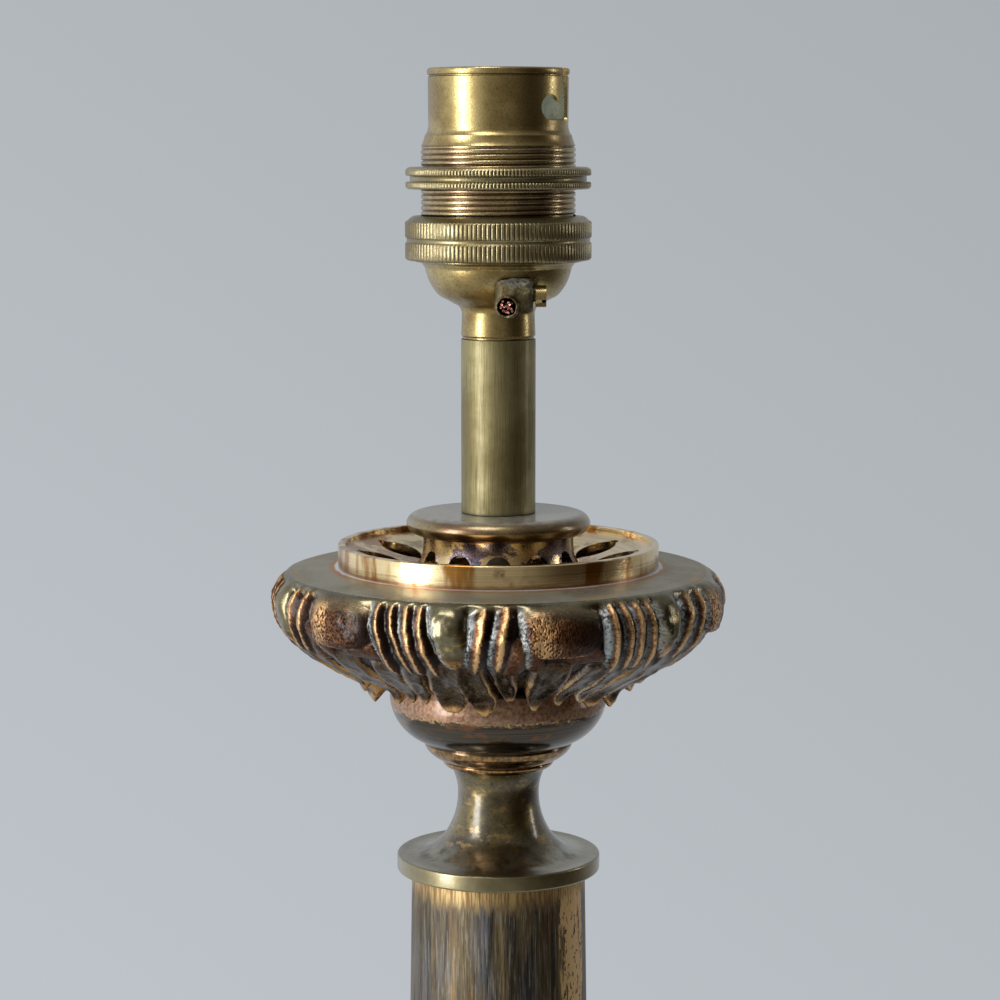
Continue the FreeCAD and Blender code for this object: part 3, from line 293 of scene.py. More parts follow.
def leaf_bronze():
    """Cast and chased leaves: worn gilding on the crests, with painted light on the ribs' left
    sides;
    dark wax in the grooves and painted shade deep in them; pale dust with painted light on the left
    slopes; punched matting on the broad lobes, hatching on the ribs, smooth midribs."""
    m = Finish("gilt_leaf_bronze")
    mask = m.add(("Attribute", {"attribute_name": "leaf_mask"}, (), None))
    crest, chasing, dust_and_lit_slope = m.add(("SeparateColor", {}, (0,), None), mask["Color"])
    bare = mask["Alpha"]
    place = m.add(("UVMap", {"uv_map": "leaf"}, (), 0))
    patches, fine = m.pattern(0.22, 4.0, 0.65), m.pattern(1.9, 4.0, 0.7)
    # punch marks on the lobes, 0.33 mm across and 0.55 mm high
    punch = m.add(CELLS, m.add(MAPPING, place, (3.0, 1.8, 1.0)), 1.0)
    dents = m.add(TIMES, m.add(RISE, punch, 0.62, 0.2), m.add(RISE, chasing, 0.6, 0.9))
    # hatching: short cuts 0.42 mm apart on the crests of the ribs, uneven, coming and going
    hatch = m.add(WAVES, m.add(MAPPING, place, (1.2, 2.4, 1.0)), 0.3142, 6.0, 2.0)
    cuts = m.add(TIMES, m.add(RISE, hatch, 0.5, 0.9), m.add(RISE, m.pattern(0.8, 3.0), 0.42, 0.6))
    cuts = m.add(TIMES, cuts, m.add(RISE, crest, 0.1, 0.5))
    hatched = m.add(TIMES, m.add(RISE, chasing, 0.12, 0.4), m.add(RISE, chasing, 0.9, 0.6))
    marks = m.add(PLUS, dents, m.add(TIMES, cuts, hatched), 0.3)
    worn = m.add(PLUS, m.add(TIMES, crest, 0.62), patches, 0.45)
    worn = m.add(PLUS, m.add(PLUS, worn, fine, 0.6), marks, -0.36)
    # smooth metal: olive, rubbed to gold in patches, red-brown low down where the gilding has gone
    rubbed = m.add(RISE, m.pattern((0.3, 0.3, 0.5), 4.0, 0.7, (2, 1, 4)), 0.52, 0.60, 0.0, 0.7)
    rubbed = m.add(TIMES, rubbed, m.add(RISE, m.height(), Z_PLATE - 4.2, Z_PLATE - 5.4))
    ragged = m.add(PLUS, m.height(), patches, 4.0)
    hollows = m.add(RISE, m.add(PLUS, fine, patches, 0.5), 0.6, 0.9)
    rims = m.add(RISE, m.add(PLUS, crest, fine, 0.5), 0.55, 1.1)
    tips = m.coats("665036", (hollows, "352515"), (rims, "c99a5c"))
    smooth = m.coats(
        "7d755a", (m.add(RISE, patches, 0.36, 0.66), "655c44"), (rubbed, "c09c58"),
        (m.add(RISE, ragged, Z_PLATE - 7.0, Z_PLATE - 9.0), "4a2614"),
        (m.add(RISE, ragged, Z_PLATE - 8.0, Z_PLATE - 10.0), tips))
    # dust and painted light: pale on the left slopes, which face the light
    dust = m.add(TIMES, dust_and_lit_slope, m.add(RISE, m.add(PLUS, fine, patches, 0.6), 0.62, 0.90))
    base = m.coats(
        "22140d", (m.add(RISE, worn, 0.55, 1.05), "74492a"),
        (m.add(RISE, worn, 0.92, 1.16, 0.0, 0.95), "dcb27c"), (bare, smooth),
        # dirt and painted shade in occluded corners; pale dust with painted light on the left
        # slopes
        (m.corners(2.2, 0.22, 0.85, 0.9), "170e08"), (dust, "b4bab8"))
    matt = m.add(PLUS, m.add(TIMES, chasing, 0.4), fine, 0.7)
    relief = m.add(TIMES, fine, m.add(RISE, bare, 0.3, 1.0, 0.5, 0.12))
    relief = m.add(PLUS, relief, marks, -0.5)
    return m.shade(
        base_color=base, metallic=m.add(RISE, dust, 0.0, 1.0, 1.0, 0.4),
        roughness=m.add(RISE, matt, 0.2, 0.9, 0.24, 0.46), normal=m.add(BUMP, relief, 0.22 * MM),
        coat_weight=0.25, coat_roughness=0.22)


def pan_bronze():
    """Turned top plate of the pan: olive-grey brass dulled with dust, a pale line of old polish and
    a copper stain round the gallery's foot."""
    m = Finish("dusty_pan_bronze")
    lines = m.pattern((0.04, 0.04, 3.0), 2.0, 0.6)
    patches = m.pattern(0.12, 4.0, 0.6, (1.0, 5.0, 0))
    fine = m.pattern(2.5, 3.0, 0.6)
    radius = m.add(LENGTH, m.add(MAPPING, m.add(PLACE), (1 / MM, 1 / MM, 0)))
    out = m.add(PLUS, radius, m.pattern(0.4, 3.0), 0.8)
    stain = m.add(TIMES, m.add(RISE, out, 30.2, 30.6), m.add(RISE, out, 32.0, 31.0, 0.0, 0.8))
    polish = m.add(
        TIMES, m.add(RISE, out, 30.7, 30.3), m.add(RISE, m.height(), Z_PLATE - 1.2, Z_PLATE - 0.8))
    rim = m.add(TIMES, m.add(RISE, out, 36.6, 37.6), m.add(RISE, patches, 0.5, 0.62, 0.0, 0.6))
    base = m.coats(
        "94907e", (m.add(RISE, patches, 0.36, 0.64), "817661"),
        (m.add(RISE, fine, 0.45, 0.70, 0.0, 0.6), "a5a59e"),
        (m.add(RISE, lines, 0.5, 0.75, 0.0, 0.35), "5a5140"), (stain, "a8764c"), (polish, "ced6dc"),
        (rim, "b0955a"))
    return m.shade(
        base_color=base, metallic=0.75, normal=m.add(BUMP, fine, 0.03 * MM),
        roughness=m.add(RISE, fine, 0.3, 0.7, 0.36, 0.55))


def cast_terminal():
    """Cast brass post, never polished: rough and grey on top with dust and painted light from
    above, olive brown below.
    """
    m = worn_brass(
        "cast_terminal_brass", "756c50", "574a30", "2a2217", patch=0.35, grain=2.2, speck=3.0,
        specks=0.5, rough=(0.4, 0.6), dirt_and_shade_reach=0.8, relief=0.12, lacquer=0.1)
    top = Z_CUP + 9.14            # how low on the post the dust and painted top light reach
    # dust and painted light: grey on the faces that turn upwards
    dust = m.add(TIMES, m.upward(0.35, 0.9), m.add(RISE, m.pattern(1.6), 0.3, 0.55, 0.2, 0.8))
    dust = m.add(TIMES, dust, m.add(RISE, m.height(), top, top + 0.8))
    return m.shade(
        base_color=m.coats(m.base, (dust, "a9aca6")),
        metallic=m.add(RISE, dust, 0.0, 1.0, 1.0, 0.2))


def porcelain():
    """Glazed porcelain insert: off-white, glossy, a little crazed and dusty."""
    m = Finish("glazed_porcelain")
    patches = m.pattern(0.3, 3.0, 0.6)
    cracks = m.add(CRACKS, m.add(PLACE), 0.4 / MM)
    base = m.coats(
        "e6e1d4", (m.add(RISE, patches, 0.4, 0.7), "d2cab8"),
        (m.add(RISE, cracks, 0.03, 0.0, 0.0, 0.4), "a89c86"))
    return m.shade(base_color=base, roughness=0.16, normal=m.add(BUMP, patches, 0.03 * MM))


def plated_steel():
    """Zinc-plated steel of the hidden ironwork: grey, faintly blue, spangled."""
    m = Finish("zinc_plated_steel")
    spangle = m.add(RISE, m.add(CELLS, m.add(PLACE), 0.5 / MM), 0.1, 0.7)
    return m.shade(
        base_color=m.coats("b4b8ba", (spangle, "94989a")), metallic=1.0, roughness=0.34,
        normal=m.add(BUMP, m.pattern(1.5), 0.02 * MM))


def cast_iron():
    """Grey iron as cast in sand: dark, grainy, dull."""
    m = Finish("sand_cast_iron")
    grit = m.pattern(1.2, 4.0, 0.7)
    return m.shade(
        base_color=m.coats("3a3836", (m.add(RISE, grit, 0.35, 0.7), "57504a")), metallic=0.8,
        roughness=0.7, normal=m.add(BUMP, grit, 0.25 * MM))


def green_felt():
    """Pressed wool felt: deep green, matt, with a short nap."""
    m = Finish("green_wool_felt")
    nap = m.pattern(2.5, 5.0, 0.75)
    return m.shade(
        base_color=m.coats("1d3324", (m.add(RISE, nap, 0.3, 0.7), "35523c")), roughness=0.95,
        sheen_weight=0.4, normal=m.add(BUMP, nap, 0.2 * MM))


# Machined brass of the lampholder, aged in air: warm olive gold, finely speckled, satin
HOLDER = worn_brass(
    "aged_lampholder_brass", "b9a46c", "917b49", "4a3a1e", patch=0.10, grain=2.6, speck=5.0,
    rough=(0.24, 0.38))
# Knurled rings: the lampholder's brass with its lacquer handled away, greyer
RING = worn_brass(
    "handled_ring_brass", "aa9c73", "85764e", "43351f", patch=0.10, speck=5.0, rough=(0.28, 0.42))
# The rolled thread: the same brass, worn pinkish on its crests, dark in its roots with dirt and
# painted shade
THREAD = worn_brass(
    "rolled_thread_brass", "b9a578", "9c8164", "3a2e1e", patch=0.2, speck=5.0, rough=(0.22, 0.36),
    dirt_and_shade_reach=0.3)
# Inside of the barrel: brass gone pale grey-green, dull
BORE = worn_brass(
    "dull_bore_brass", "b6b8a8", "868c7c", "54523f", patch=0.15, rough=(0.35, 0.5), dirt_and_shade_reach=0.6,
    lacquer=0.2)
# Drawn brass tube: olive green, with fine lines along its length
STEM = worn_brass(
    "drawn_stem_brass", "998f67", "7c714b", "463c22", patch=0.09, grain=(5.0, 5.0, 0.12),
    specks=0.25, rough=(0.50, 0.6), lacquer=0.3)
# Turned foot and base ring: the column's gilt brass, rubbed to gold on its rounds, darkened in its
# hollows by dirt and painted shade, with fine turning lines
FOOT = worn_brass(
    "rubbed_foot_brass", "ab9360", "7d6840", "3a3022", patch=0.05, grain=(0.25, 0.25, 1.6),
    speck=1.4, specks=0.5, rough=(0.26, 0.42), dirt_and_shade_reach=4.0, relief=0.02, lacquer=0.5)
# Freshly cut copper wire: pink and bright
COPPER = worn_brass(
    "bare_copper_wire", "dfa08c", "ab6450", "3a1a12", patch=1.2, grain=2.4, speck=2.0, specks=0.8,
    rough=(0.18, 0.3), dirt_and_shade_reach=0.5, relief=0.15)
# Clean turned brass of the contacts
CONTACT = worn_brass(
    "turned_contact_brass", "cfae68", "b18c48", "6a5128", patch=0.3, speck=5.0, specks=0.2,
    rough=(0.18, 0.3))
FLANGE, COLLAR, GALLERY, NECK = flange_bronze(), collar_bronze(), gallery_brass(), turned_bronze()
BOWL, COLUMN, LEAF, PAN = bowl_bronze(), column_brass(), leaf_bronze(), pan_bronze()
TERMINAL, PORCELAIN, STEEL = cast_terminal(), porcelain(), plated_steel()
IRON, FELT = cast_iron(), green_felt()


# -------- making pieces
def show(name, data):
    """Adds an object with a name to the scene."""
    made = bpy.data.objects.new(name, data)
    bpy.context.scene.collection.objects.link(made)
    return made


def object_of(bm, name):
    """An object out of a bmesh in millimetres."""
    bmesh.ops.scale(bm, vec=(MM, MM, MM), verts=bm.verts)
    mesh = bpy.data.meshes.new(name)
    bm.to_mesh(mesh)
    bm.free()
    return show(name, mesh)


def piece(bm, name, finish, stands_for=(), body="lamp", smooth=True):
    """Turns a bmesh in millimetres into a piece of the lamp that rides on a body."""
    made = object_of(bm, name)
    made.data.materials.append(finish.data)
    if smooth:
        made.data.shade_smooth()
    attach(made, body)
    if stands_for:
        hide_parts(*stands_for)
    return made


def rounded_edges(made, width, angle=35):
    """Small rounding of every sharp edge, so that edges catch the light."""
    bevel = made.modifiers.new("rounded edges", "BEVEL")
    bevel.width = width * MM
    bevel.segments = 2
    bevel.limit_method = "ANGLE"
    bevel.angle_limit = math.radians(angle)
    bevel.harden_normals = True


def verts_in(geom):
    """The vertices among a list of geometry."""
    return [part for part in geom if isinstance(part, bmesh.types.BMVert)]


def pull(vert, factor):
    """Moves a vertex towards the lamp's axis."""
    vert.co.x *= factor
    vert.co.y *= factor


def smooth_path(points, steps=8):
    """Points of a profile (r, z); one with a third value is reached by an arc of that bulge (its
    height over half its chord; above 0 it hollows the solid, drawn up its outer side)."""
    path = [points[0][:2]]
    for point in points[1:]:
        start, end = Vector(path[-1]), Vector(point[:2])
        bulge = point[2] if len(point) > 2 else 0.0
        if bulge:
            arc = 4 * math.atan(abs(bulge))
            chord = end - start
            radius = chord.length / (2 * math.sin(arc / 2))
            side = 1.0 if bulge > 0 else -1.0
            normal = Vector((-chord.y, chord.x)).normalized() * side
            centre = (start + end) / 2 - normal * (radius * math.cos(arc / 2))
            for index in range(1, steps):
                turn = Matrix.Rotation(-side * arc * index / steps, 2)
                path.append(tuple(centre + turn @ (start - centre)))
        path.append(tuple(end))
    return path


def sweep(bm, geom, steps, sectors=6):
    """Spins a profile about the lamp's axis: one sector, copied round until the turn is closed."""
    share = 2 * math.pi / sectors
    bmesh.ops.spin(
        bm, geom=geom, axis=(0, 0, 1), angle=share, steps=steps // sectors, use_merge=False)
    sector = bm.verts[:] + bm.edges[:] + bm.faces[:]
    for index in range(1, sectors):
        copy = bmesh.ops.duplicate(bm, geom=sector)["geom"]
        bmesh.ops.rotate(bm, matrix=Matrix.Rotation(share * index, 3, "Z"), verts=verts_in(copy))
    bmesh.ops.remove_doubles(bm, verts=bm.verts, dist=1e-4)
    bmesh.ops.recalc_face_normals(bm, faces=bm.faces)


def spun(points, steps=160, closed=True, arc_steps=8):
    """Turned form: a closed or open profile swept a full turn."""
    bm = bmesh.new()
    verts = [bm.verts.new((r, 0, z)) for r, z in smooth_path(points, arc_steps)]
    pairs = zip(verts, verts[1:] + verts[:1]) if closed else zip(verts, verts[1:])
    edges = [bm.edges.new(pair) for pair in pairs]
    sweep(bm, verts + edges, steps)
    return bm


def turned_piece(name, points, finish, stands_for, edge=0.12, steps=160, arc_steps=8):
    """A turned form as a piece, with its edges rounded."""
    made = piece(spun(points, steps, True, arc_steps), name, finish, stands_for)
    rounded_edges(made, edge)
    return made


def knurl(bm, teeth, steps, bands, depth):
    """Straight knurling: sinks one step in each tooth, within the bands of height given."""
    for vert in bm.verts:
        radius = math.hypot(vert.co.x, vert.co.y)
        for low, high, least in bands:
            if low - 1e-4 <= vert.co.z <= high + 1e-4 and radius > least:
                share = (math.atan2(vert.co.y, vert.co.x) / (2 * math.pi)) % 1.0
                if round(share * teeth * steps) % steps == 0:
                    pull(vert, (radius - depth) / radius)


def keep(name, finish):
    """A CAD node that stays: its finish, and smooth shading between its sharp edges."""
    node = nodes[name]
    node.data.materials.clear()
    node.data.materials.append(finish.data)
    node.data.shade_smooth()
    weld = node.modifiers.new("weld", "WELD")
    weld.merge_threshold = 0.002 * MM
    edges = node.modifiers.new("sharp edges", "EDGE_SPLIT")
    edges.split_angle = math.radians(32)


def cut_away(made, bm):
    """Cuts a bmesh in millimetres out of a piece."""
    cutter = object_of(bm, "cutter")
    cut = made.modifiers.new("cut", "BOOLEAN")
    cut.operation = "DIFFERENCE"
    cut.solver = "EXACT"
    cut.object = cutter
    bpy.context.view_layer.objects.active = made
    bpy.ops.object.modifier_apply(modifier=cut.name)
    bpy.data.objects.remove(cutter)
    made.data.shade_smooth()


# -------- the lampholder
SLOT_TURN = 71                # entry of the first J slot, degrees right of the front


def holder_barrel():
    """Barrel with its rolled lip, J slots and flare, over the core of the shade-ring thread. Behind
    the lip its bore is wider than the CAD's, so that the slots show a thin wall."""
    bm = spun([
        (12.9, Z_BARREL), (15.0, Z_BARREL), (15.0, 438.5), (13.62, 438.5), (13.62, 454.3),
        (13.95, 454.5), (13.72, 454.9), (13.3, 456.3, 0.05), (12.72, 457.5, 0.16),
        (12.64, 458.4, 0.1), (12.7, 466.7), (12.5, 466.85), (12.5, 467.0), (12.76, 467.15),
        (12.86, 467.5), (12.8, 468.0, -0.1), (12.45, Z_TOP, -0.3), (11.6, Z_TOP), (11.4, 468.1),
        (11.4, 467.2), (12.1, 466.8), (12.1, 459.1), (11.7, 459.1), (11.7, 455.9), (12.4, 454.4),
        (12.4, 443.95), (12.9, 443.95),
    ], 192)
    made = piece(bm, "holder_barrel", HOLDER, ["bayonet_barrel"])
    made.data.materials.append(BORE.data)
    inside, bore_low, bore_high = 12.2, 458, 467.6
    for face in made.data.polygons:
        x, y, z = face.center / MM
        if bore_low < z < bore_high and math.hypot(x, y) < inside:
            face.material_index = 1
    for turn in (SLOT_TURN, SLOT_TURN + 180):
        cut_away(made, slot_cutter(turn))
    rounded_edges(made, 0.14, 30)


def slot_cutter(turn):
    """Prism in the shape of one J slot, through the barrel's wall at a turn right of the front."""
    bm = bmesh.new()
    outside, through = 14.5, 6.5
    outline = smooth_path([
        (1.5, 1.0), (1.5, -8.6), (0.5, -9.4, 0.41), (-4.75, -9.4), (-4.75, -4.7, 1.0),
        (-3.4, -5.6, 0.25), (-2.2, -5.3, -0.9), (-1.5, -4.6, -0.1), (-1.5, 1.0),
    ])
    face = bm.faces.new([bm.verts.new((x, -outside, Z_TOP + z)) for x, z in outline])
    drawn = bmesh.ops.extrude_face_region(bm, geom=[face])
    bmesh.ops.translate(bm, vec=(0, through, 0), verts=verts_in(drawn["geom"]))
    bmesh.ops.recalc_face_normals(bm, faces=bm.faces)
    bmesh.ops.rotate(bm, matrix=Matrix.Rotation(math.radians(turn), 3, "Z"), verts=bm.verts)
    return bm


def holder_thread():
    """The rolled thread, a true helix, 1 mm pitch, dying out under the flare."""
    bm = bmesh.new()
    pitch, turns, per_turn, foot, core = 1.0, 13, 96, 441.3, 13.5
    rib = [(13.55, 0.0), (13.82, 0.1), (13.97, 0.22), (14.0, 0.5), (13.97, 0.78), (13.82, 0.9),
           (13.55, 1.0)]
    verts = [bm.verts.new((r, 0, foot + z * pitch)) for r, z in rib]
    edges = [bm.edges.new(pair) for pair in zip(verts, verts[1:])]
    bmesh.ops.spin(
        bm, geom=verts + edges, axis=(0, 0, 1), angle=2 * math.pi, steps=per_turn,
        dvec=(0, 0, pitch / per_turn), use_merge=False)
    turn = bm.verts[:] + bm.edges[:] + bm.faces[:]
    for index in range(1, turns):
        copy = bmesh.ops.duplicate(bm, geom=turn)["geom"]
        bmesh.ops.translate(bm, vec=(0, 0, index * pitch), verts=verts_in(copy))
    bmesh.ops.remove_doubles(bm, verts=bm.verts, dist=1e-4)
    top = foot + turns * pitch
    for vert in bm.verts:
        radius = math.hypot(vert.co.x, vert.co.y)
        fade = min(
            1.0, max(0.0, (top + 0.5 - vert.co.z) / 0.8), max(0.0, (vert.co.z - foot + 0.4) / 0.8))
        pull(vert, (core + (radius - core) * fade) / radius)
    bmesh.ops.recalc_face_normals(bm, faces=bm.faces)
    bm.faces.ensure_lookup_table()
    if bm.faces[0].normal.xy.dot(bm.faces[0].calc_center_median().xy) < 0:
        bmesh.ops.reverse_faces(bm, faces=bm.faces)
    piece(bm, "holder_thread", THREAD)


def knurled_shade_ring():
    """Shade ring: two thin knurled flanges with a plain groove between them."""
    low, high = 446.72, 450.67
    teeth, steps = 162, 5
    bm = spun([
        (14.07, low), (16.3, low), (16.55, low + 0.12), (16.72, low + 0.3), (16.8, low + 0.5),
        (16.8, low + 1.0), (16.66, low + 1.26), (16.0, low + 1.3), (16.0, low + 2.4),
        (16.66, low + 2.42), (16.8, low + 2.65), (16.8, high - 0.75), (16.72, high - 0.45),
        (16.4, high - 0.15), (16.0, high), (14.07, high),
    ], teeth * steps)
    knurl(bm, teeth, steps, [(low + 0.45, low + 1.27, 16.5), (low + 2.41, high - 0.7, 16.5)], 0.32)
    piece(bm, "knurled_shade_ring", RING, ["shade_ring"], "shade_ring")


def knurled_union_ring():
    """Union ring: two knurled bands with a plain band between, a bevelled shoulder above."""
    low = 433.9
    teeth, steps = 126, 6
    bm = spun([
        (15.2, low), (16.2, low), (16.6, low + 0.1), (16.9, low + 0.45), (16.9, low + 3.05),
        (16.72, low + 3.25), (16.62, low + 3.3), (16.62, low + 4.0), (16.72, low + 4.05),
        (16.9, low + 4.25), (16.9, low + 6.85), (16.7, low + 7.05), (16.5, low + 7.15),
        (15.9, low + 7.7), (15.4, low + 7.97), (14.15, low + 7.97), (14.15, low + 4.65),
        (15.2, low + 4.65),
    ], teeth * steps)
    knurl(bm, teeth, steps, [(low + 0.3, low + 3.1, 16.65), (low + 4.2, low + 6.9, 16.65)], 0.3)
    piece(bm, "knurled_union_ring", RING, ["union_ring"])


def holder_cup():
    """Bottom cup: waisted neck with a dark seam on the stem, round flank and a flared lip."""
    turned_piece("holder_cup", [
        (5.05, Z_CUP), (6.5, Z_CUP), (6.55, 420.1), (6.78, 420.3), (6.7, 421.6), (6.63, 424.1),
        (6.92, 425.2, 0.15), (7.75, 425.9, 0.2), (9.2, 426.7), (10.6, 427.4), (11.6, 428.5, -0.06),
        (12.3, 429.6, -0.05), (12.9, 431.0, -0.05), (13.3, 432.5, -0.04), (13.6, 432.95, 0.1),
        (14.5, 433.65, 0.25), (15.1, 433.65), (15.1, Z_BARREL), (12.4, Z_BARREL), (12.4, 433.7),
        (12.0, 432.5), (7.2, 427.6, 0.29), (5.05, 427.6),
    ], HOLDER, ["bottom_cup"], 0.1)


POST_PLACE = Vector((2.8, -12.2, 428.01))       # middle of the post
MOUTH_PLACE = Vector((1.9, -12.2, 426.51))      # where its wire hole starts
MOUTH_TURN = Vector((-0.12, -1.0, -0.08)).normalized().to_track_quat("Z", "Y").to_matrix()


def roughen(bm, broad, fine):
    """Uneven cast skin: pushes every vertex along its normal, in mm."""
    bm.normal_update()
    for vert in bm.verts:
        height = noise.noise(vert.co * 0.9) * broad + noise.noise(vert.co * 2.6) * fine
        vert.co += vert.normal * height


def cast_post():
    """Earth terminal: a rough cast barrel across the cup, its left end rounded off, and its mouth
    for the wire."""
    barrel = spun([
        (0, -3.3), (0.9, -3.3), (1.8, -3.25), (2.45, -2.9), (2.9, -2.35), (3.15, -1.7), (3.2, -1.1),
        (3.22, -0.5), (3.22, 0.1), (3.2, 0.7), (3.18, 1.3), (3.16, 1.9), (3.12, 2.5), (2.95, 3.0),
        (2.6, 3.28), (1.3, 3.3), (0, 3.3)], 72, False)
    bmesh.ops.rotate(barrel, matrix=Matrix.Rotation(math.radians(90), 3, "Y"), verts=barrel.verts)
    bmesh.ops.translate(barrel, vec=POST_PLACE, verts=barrel.verts)
    roughen(barrel, 0.3, 0.12)
    made = piece(barrel, "cast_post", TERMINAL, ["earth_terminal"])
    hole = bmesh.new()
    bore, depth = 1.6, 7.0
    middle = MOUTH_PLACE + MOUTH_TURN @ Vector((0, 0, depth / 2))
    bmesh.ops.create_cone(
        hole, cap_ends=True, segments=48, radius1=bore, radius2=bore, depth=depth,
        matrix=Matrix.Translation(middle) @ MOUTH_TURN.to_4x4())
    cut_away(made, hole)
    rim = spun([(bore, 0.4), (2.05, 0.4), (2.1, 1.6), (2.08, 3.0), (1.95, 3.4), (1.75, 3.5),
                (bore, 3.3)], 60)
    roughen(rim, 0.2, 0.1)
    bmesh.ops.rotate(rim, matrix=MOUTH_TURN, verts=rim.verts)
    bmesh.ops.translate(rim, vec=MOUTH_PLACE, verts=rim.verts)
    piece(rim, "cast_post_mouth", TERMINAL)


def wire_strands():
    """Cut ends of the copper wire in the post's mouth, splayed and of uneven length."""
    chance = random.Random(5)
    count, golden_turn, spread, depth = 19, 2.4, 1.15, 1.85
    bm = bmesh.new()
    for index in range(count):
        turn, out = index * golden_turn, spread * math.sqrt((index + 0.5) / count)
        along = depth + chance.uniform(-0.35, 0.35)
        middle = Vector((out * math.cos(turn), out * math.sin(turn), along))
        tilt = Matrix.Rotation(chance.uniform(-0.2, 0.2), 3, "X")
        tilt = tilt @ Matrix.Rotation(chance.uniform(-0.2, 0.2), 3, "Y")
        place = Matrix.Translation(MOUTH_PLACE + MOUTH_TURN @ middle)
        bmesh.ops.create_cone(
            bm, cap_ends=True, segments=12, radius1=0.3, radius2=0.26, depth=2.6,
            matrix=place @ (MOUTH_TURN @ tilt).to_4x4())
    made = piece(bm, "wire_strands", COPPER, ["earth_strands"], smooth=False)
    rounded_edges(made, 0.06, 30)


# -------- stem, flange, bowl, neck, column
def turned_parts():
    """What is turned and plain; the pan's plate goes with the leaves."""
    turned_piece("drawn_stem", [
        (5.6, Z_STEM), (6.8, Z_STEM), (6.8, Z_CUP), (5.6, Z_CUP)],
        STEM, ["stem_tube"], 0.15, 128)
    turned_piece("rolled_flange", [
        (5.2, 382.5), (12.3, 382.5), (12.3, Z_FLANGE), (14.4, Z_FLANGE), (16.9, 386.0, -0.4),
        (14.4, Z_STEM, -0.4), (5.2, Z_STEM)],
        FLANGE, ["stem_flange"], 0.1, 160, 12)
    turned_piece("turned_bowl_piece", [
        (5.2, Z_BOWL), (8.9, Z_BOWL), (10.3, 341.3, -0.3), (10.35, 341.6), (10.15, 341.8),
        (10.8, 342.0), (13.1, 343.6, -0.12), (13.8, 345.1, -0.12), (13.65, 345.35), (14.1, 345.5),
        (20.1, 353.7, -0.3), (19.4, Z_PAN, -0.05), (17.2, Z_PAN), (17.9, 353.7), (12.7, 347.8, 0.3),
        (5.2, 346.9)],
        BOWL, ["turned_bowl"], 0.12, 160, 14)
    turned_piece("waisted_neck", [
        (5.2, 315.0), (14.5, 315.0), (14.5, Z_CAP), (18.4, Z_CAP), (18.83, 321.4, -0.41),
        (18.83, 323.65), (18.43, 324.05, -0.41), (9.0, 329.1, 0.34), (7.54, 335.2, 0.12),
        (8.8, Z_BOWL, 0.14), (5.2, Z_BOWL)],
        NECK, ["column_cap"], 0.1, 160, 16)
    turned_piece("tapered_column", [
        (18.5, Z_COLUMN), (20.0, Z_COLUMN), (16.1, Z_CAP), (14.6, Z_CAP)],
        COLUMN, ["column_tube"], 0.2)


# -------- the acanthus band
LEAF_TURN = -13.3              # first smooth midrib, degrees right of the front
LEAVES = 6
LEAF_SHARE = 360.0 / LEAVES
SHOULDER = (0.015, 0.06)       # where the grooves set in under the plate's smooth shoulder
GROOVE = 1.9                   # depth of the grooves under the crests, mm
TIP_END = 0.7                  # a form that ends further down than this is a free tip
RIB_SQUARENESS = 1.6           # a form that is no squarer than this is a rib
PUNCHED = 1.0                  # chasing of the broad matted lobe
# Outer face of the band at its crests, from the plate's edge round to the leaves' lower end: r, z
BAND = [(38.3, 377.15), (39.6, 376.65), (40.9, 375.5), (41.75, 373.8), (42.06, 372.0),
        (41.9, 370.4), (41.4, 368.6), (40.5, 366.6), (38.9, 364.6), (36.9, 362.9), (34.2, 361.2),
        (30.9, 359.5), (27.8, 358.0), (25.3, 356.6), (23.5, 355.0)]
# Inner skin that closes the band behind, from its lower end back up to the plate
BAND_BACK = [(19.6, 359.2), (28.0, 366.0), (35.0, 370.4), (36.4, 375.5), (37.6, 376.8)]
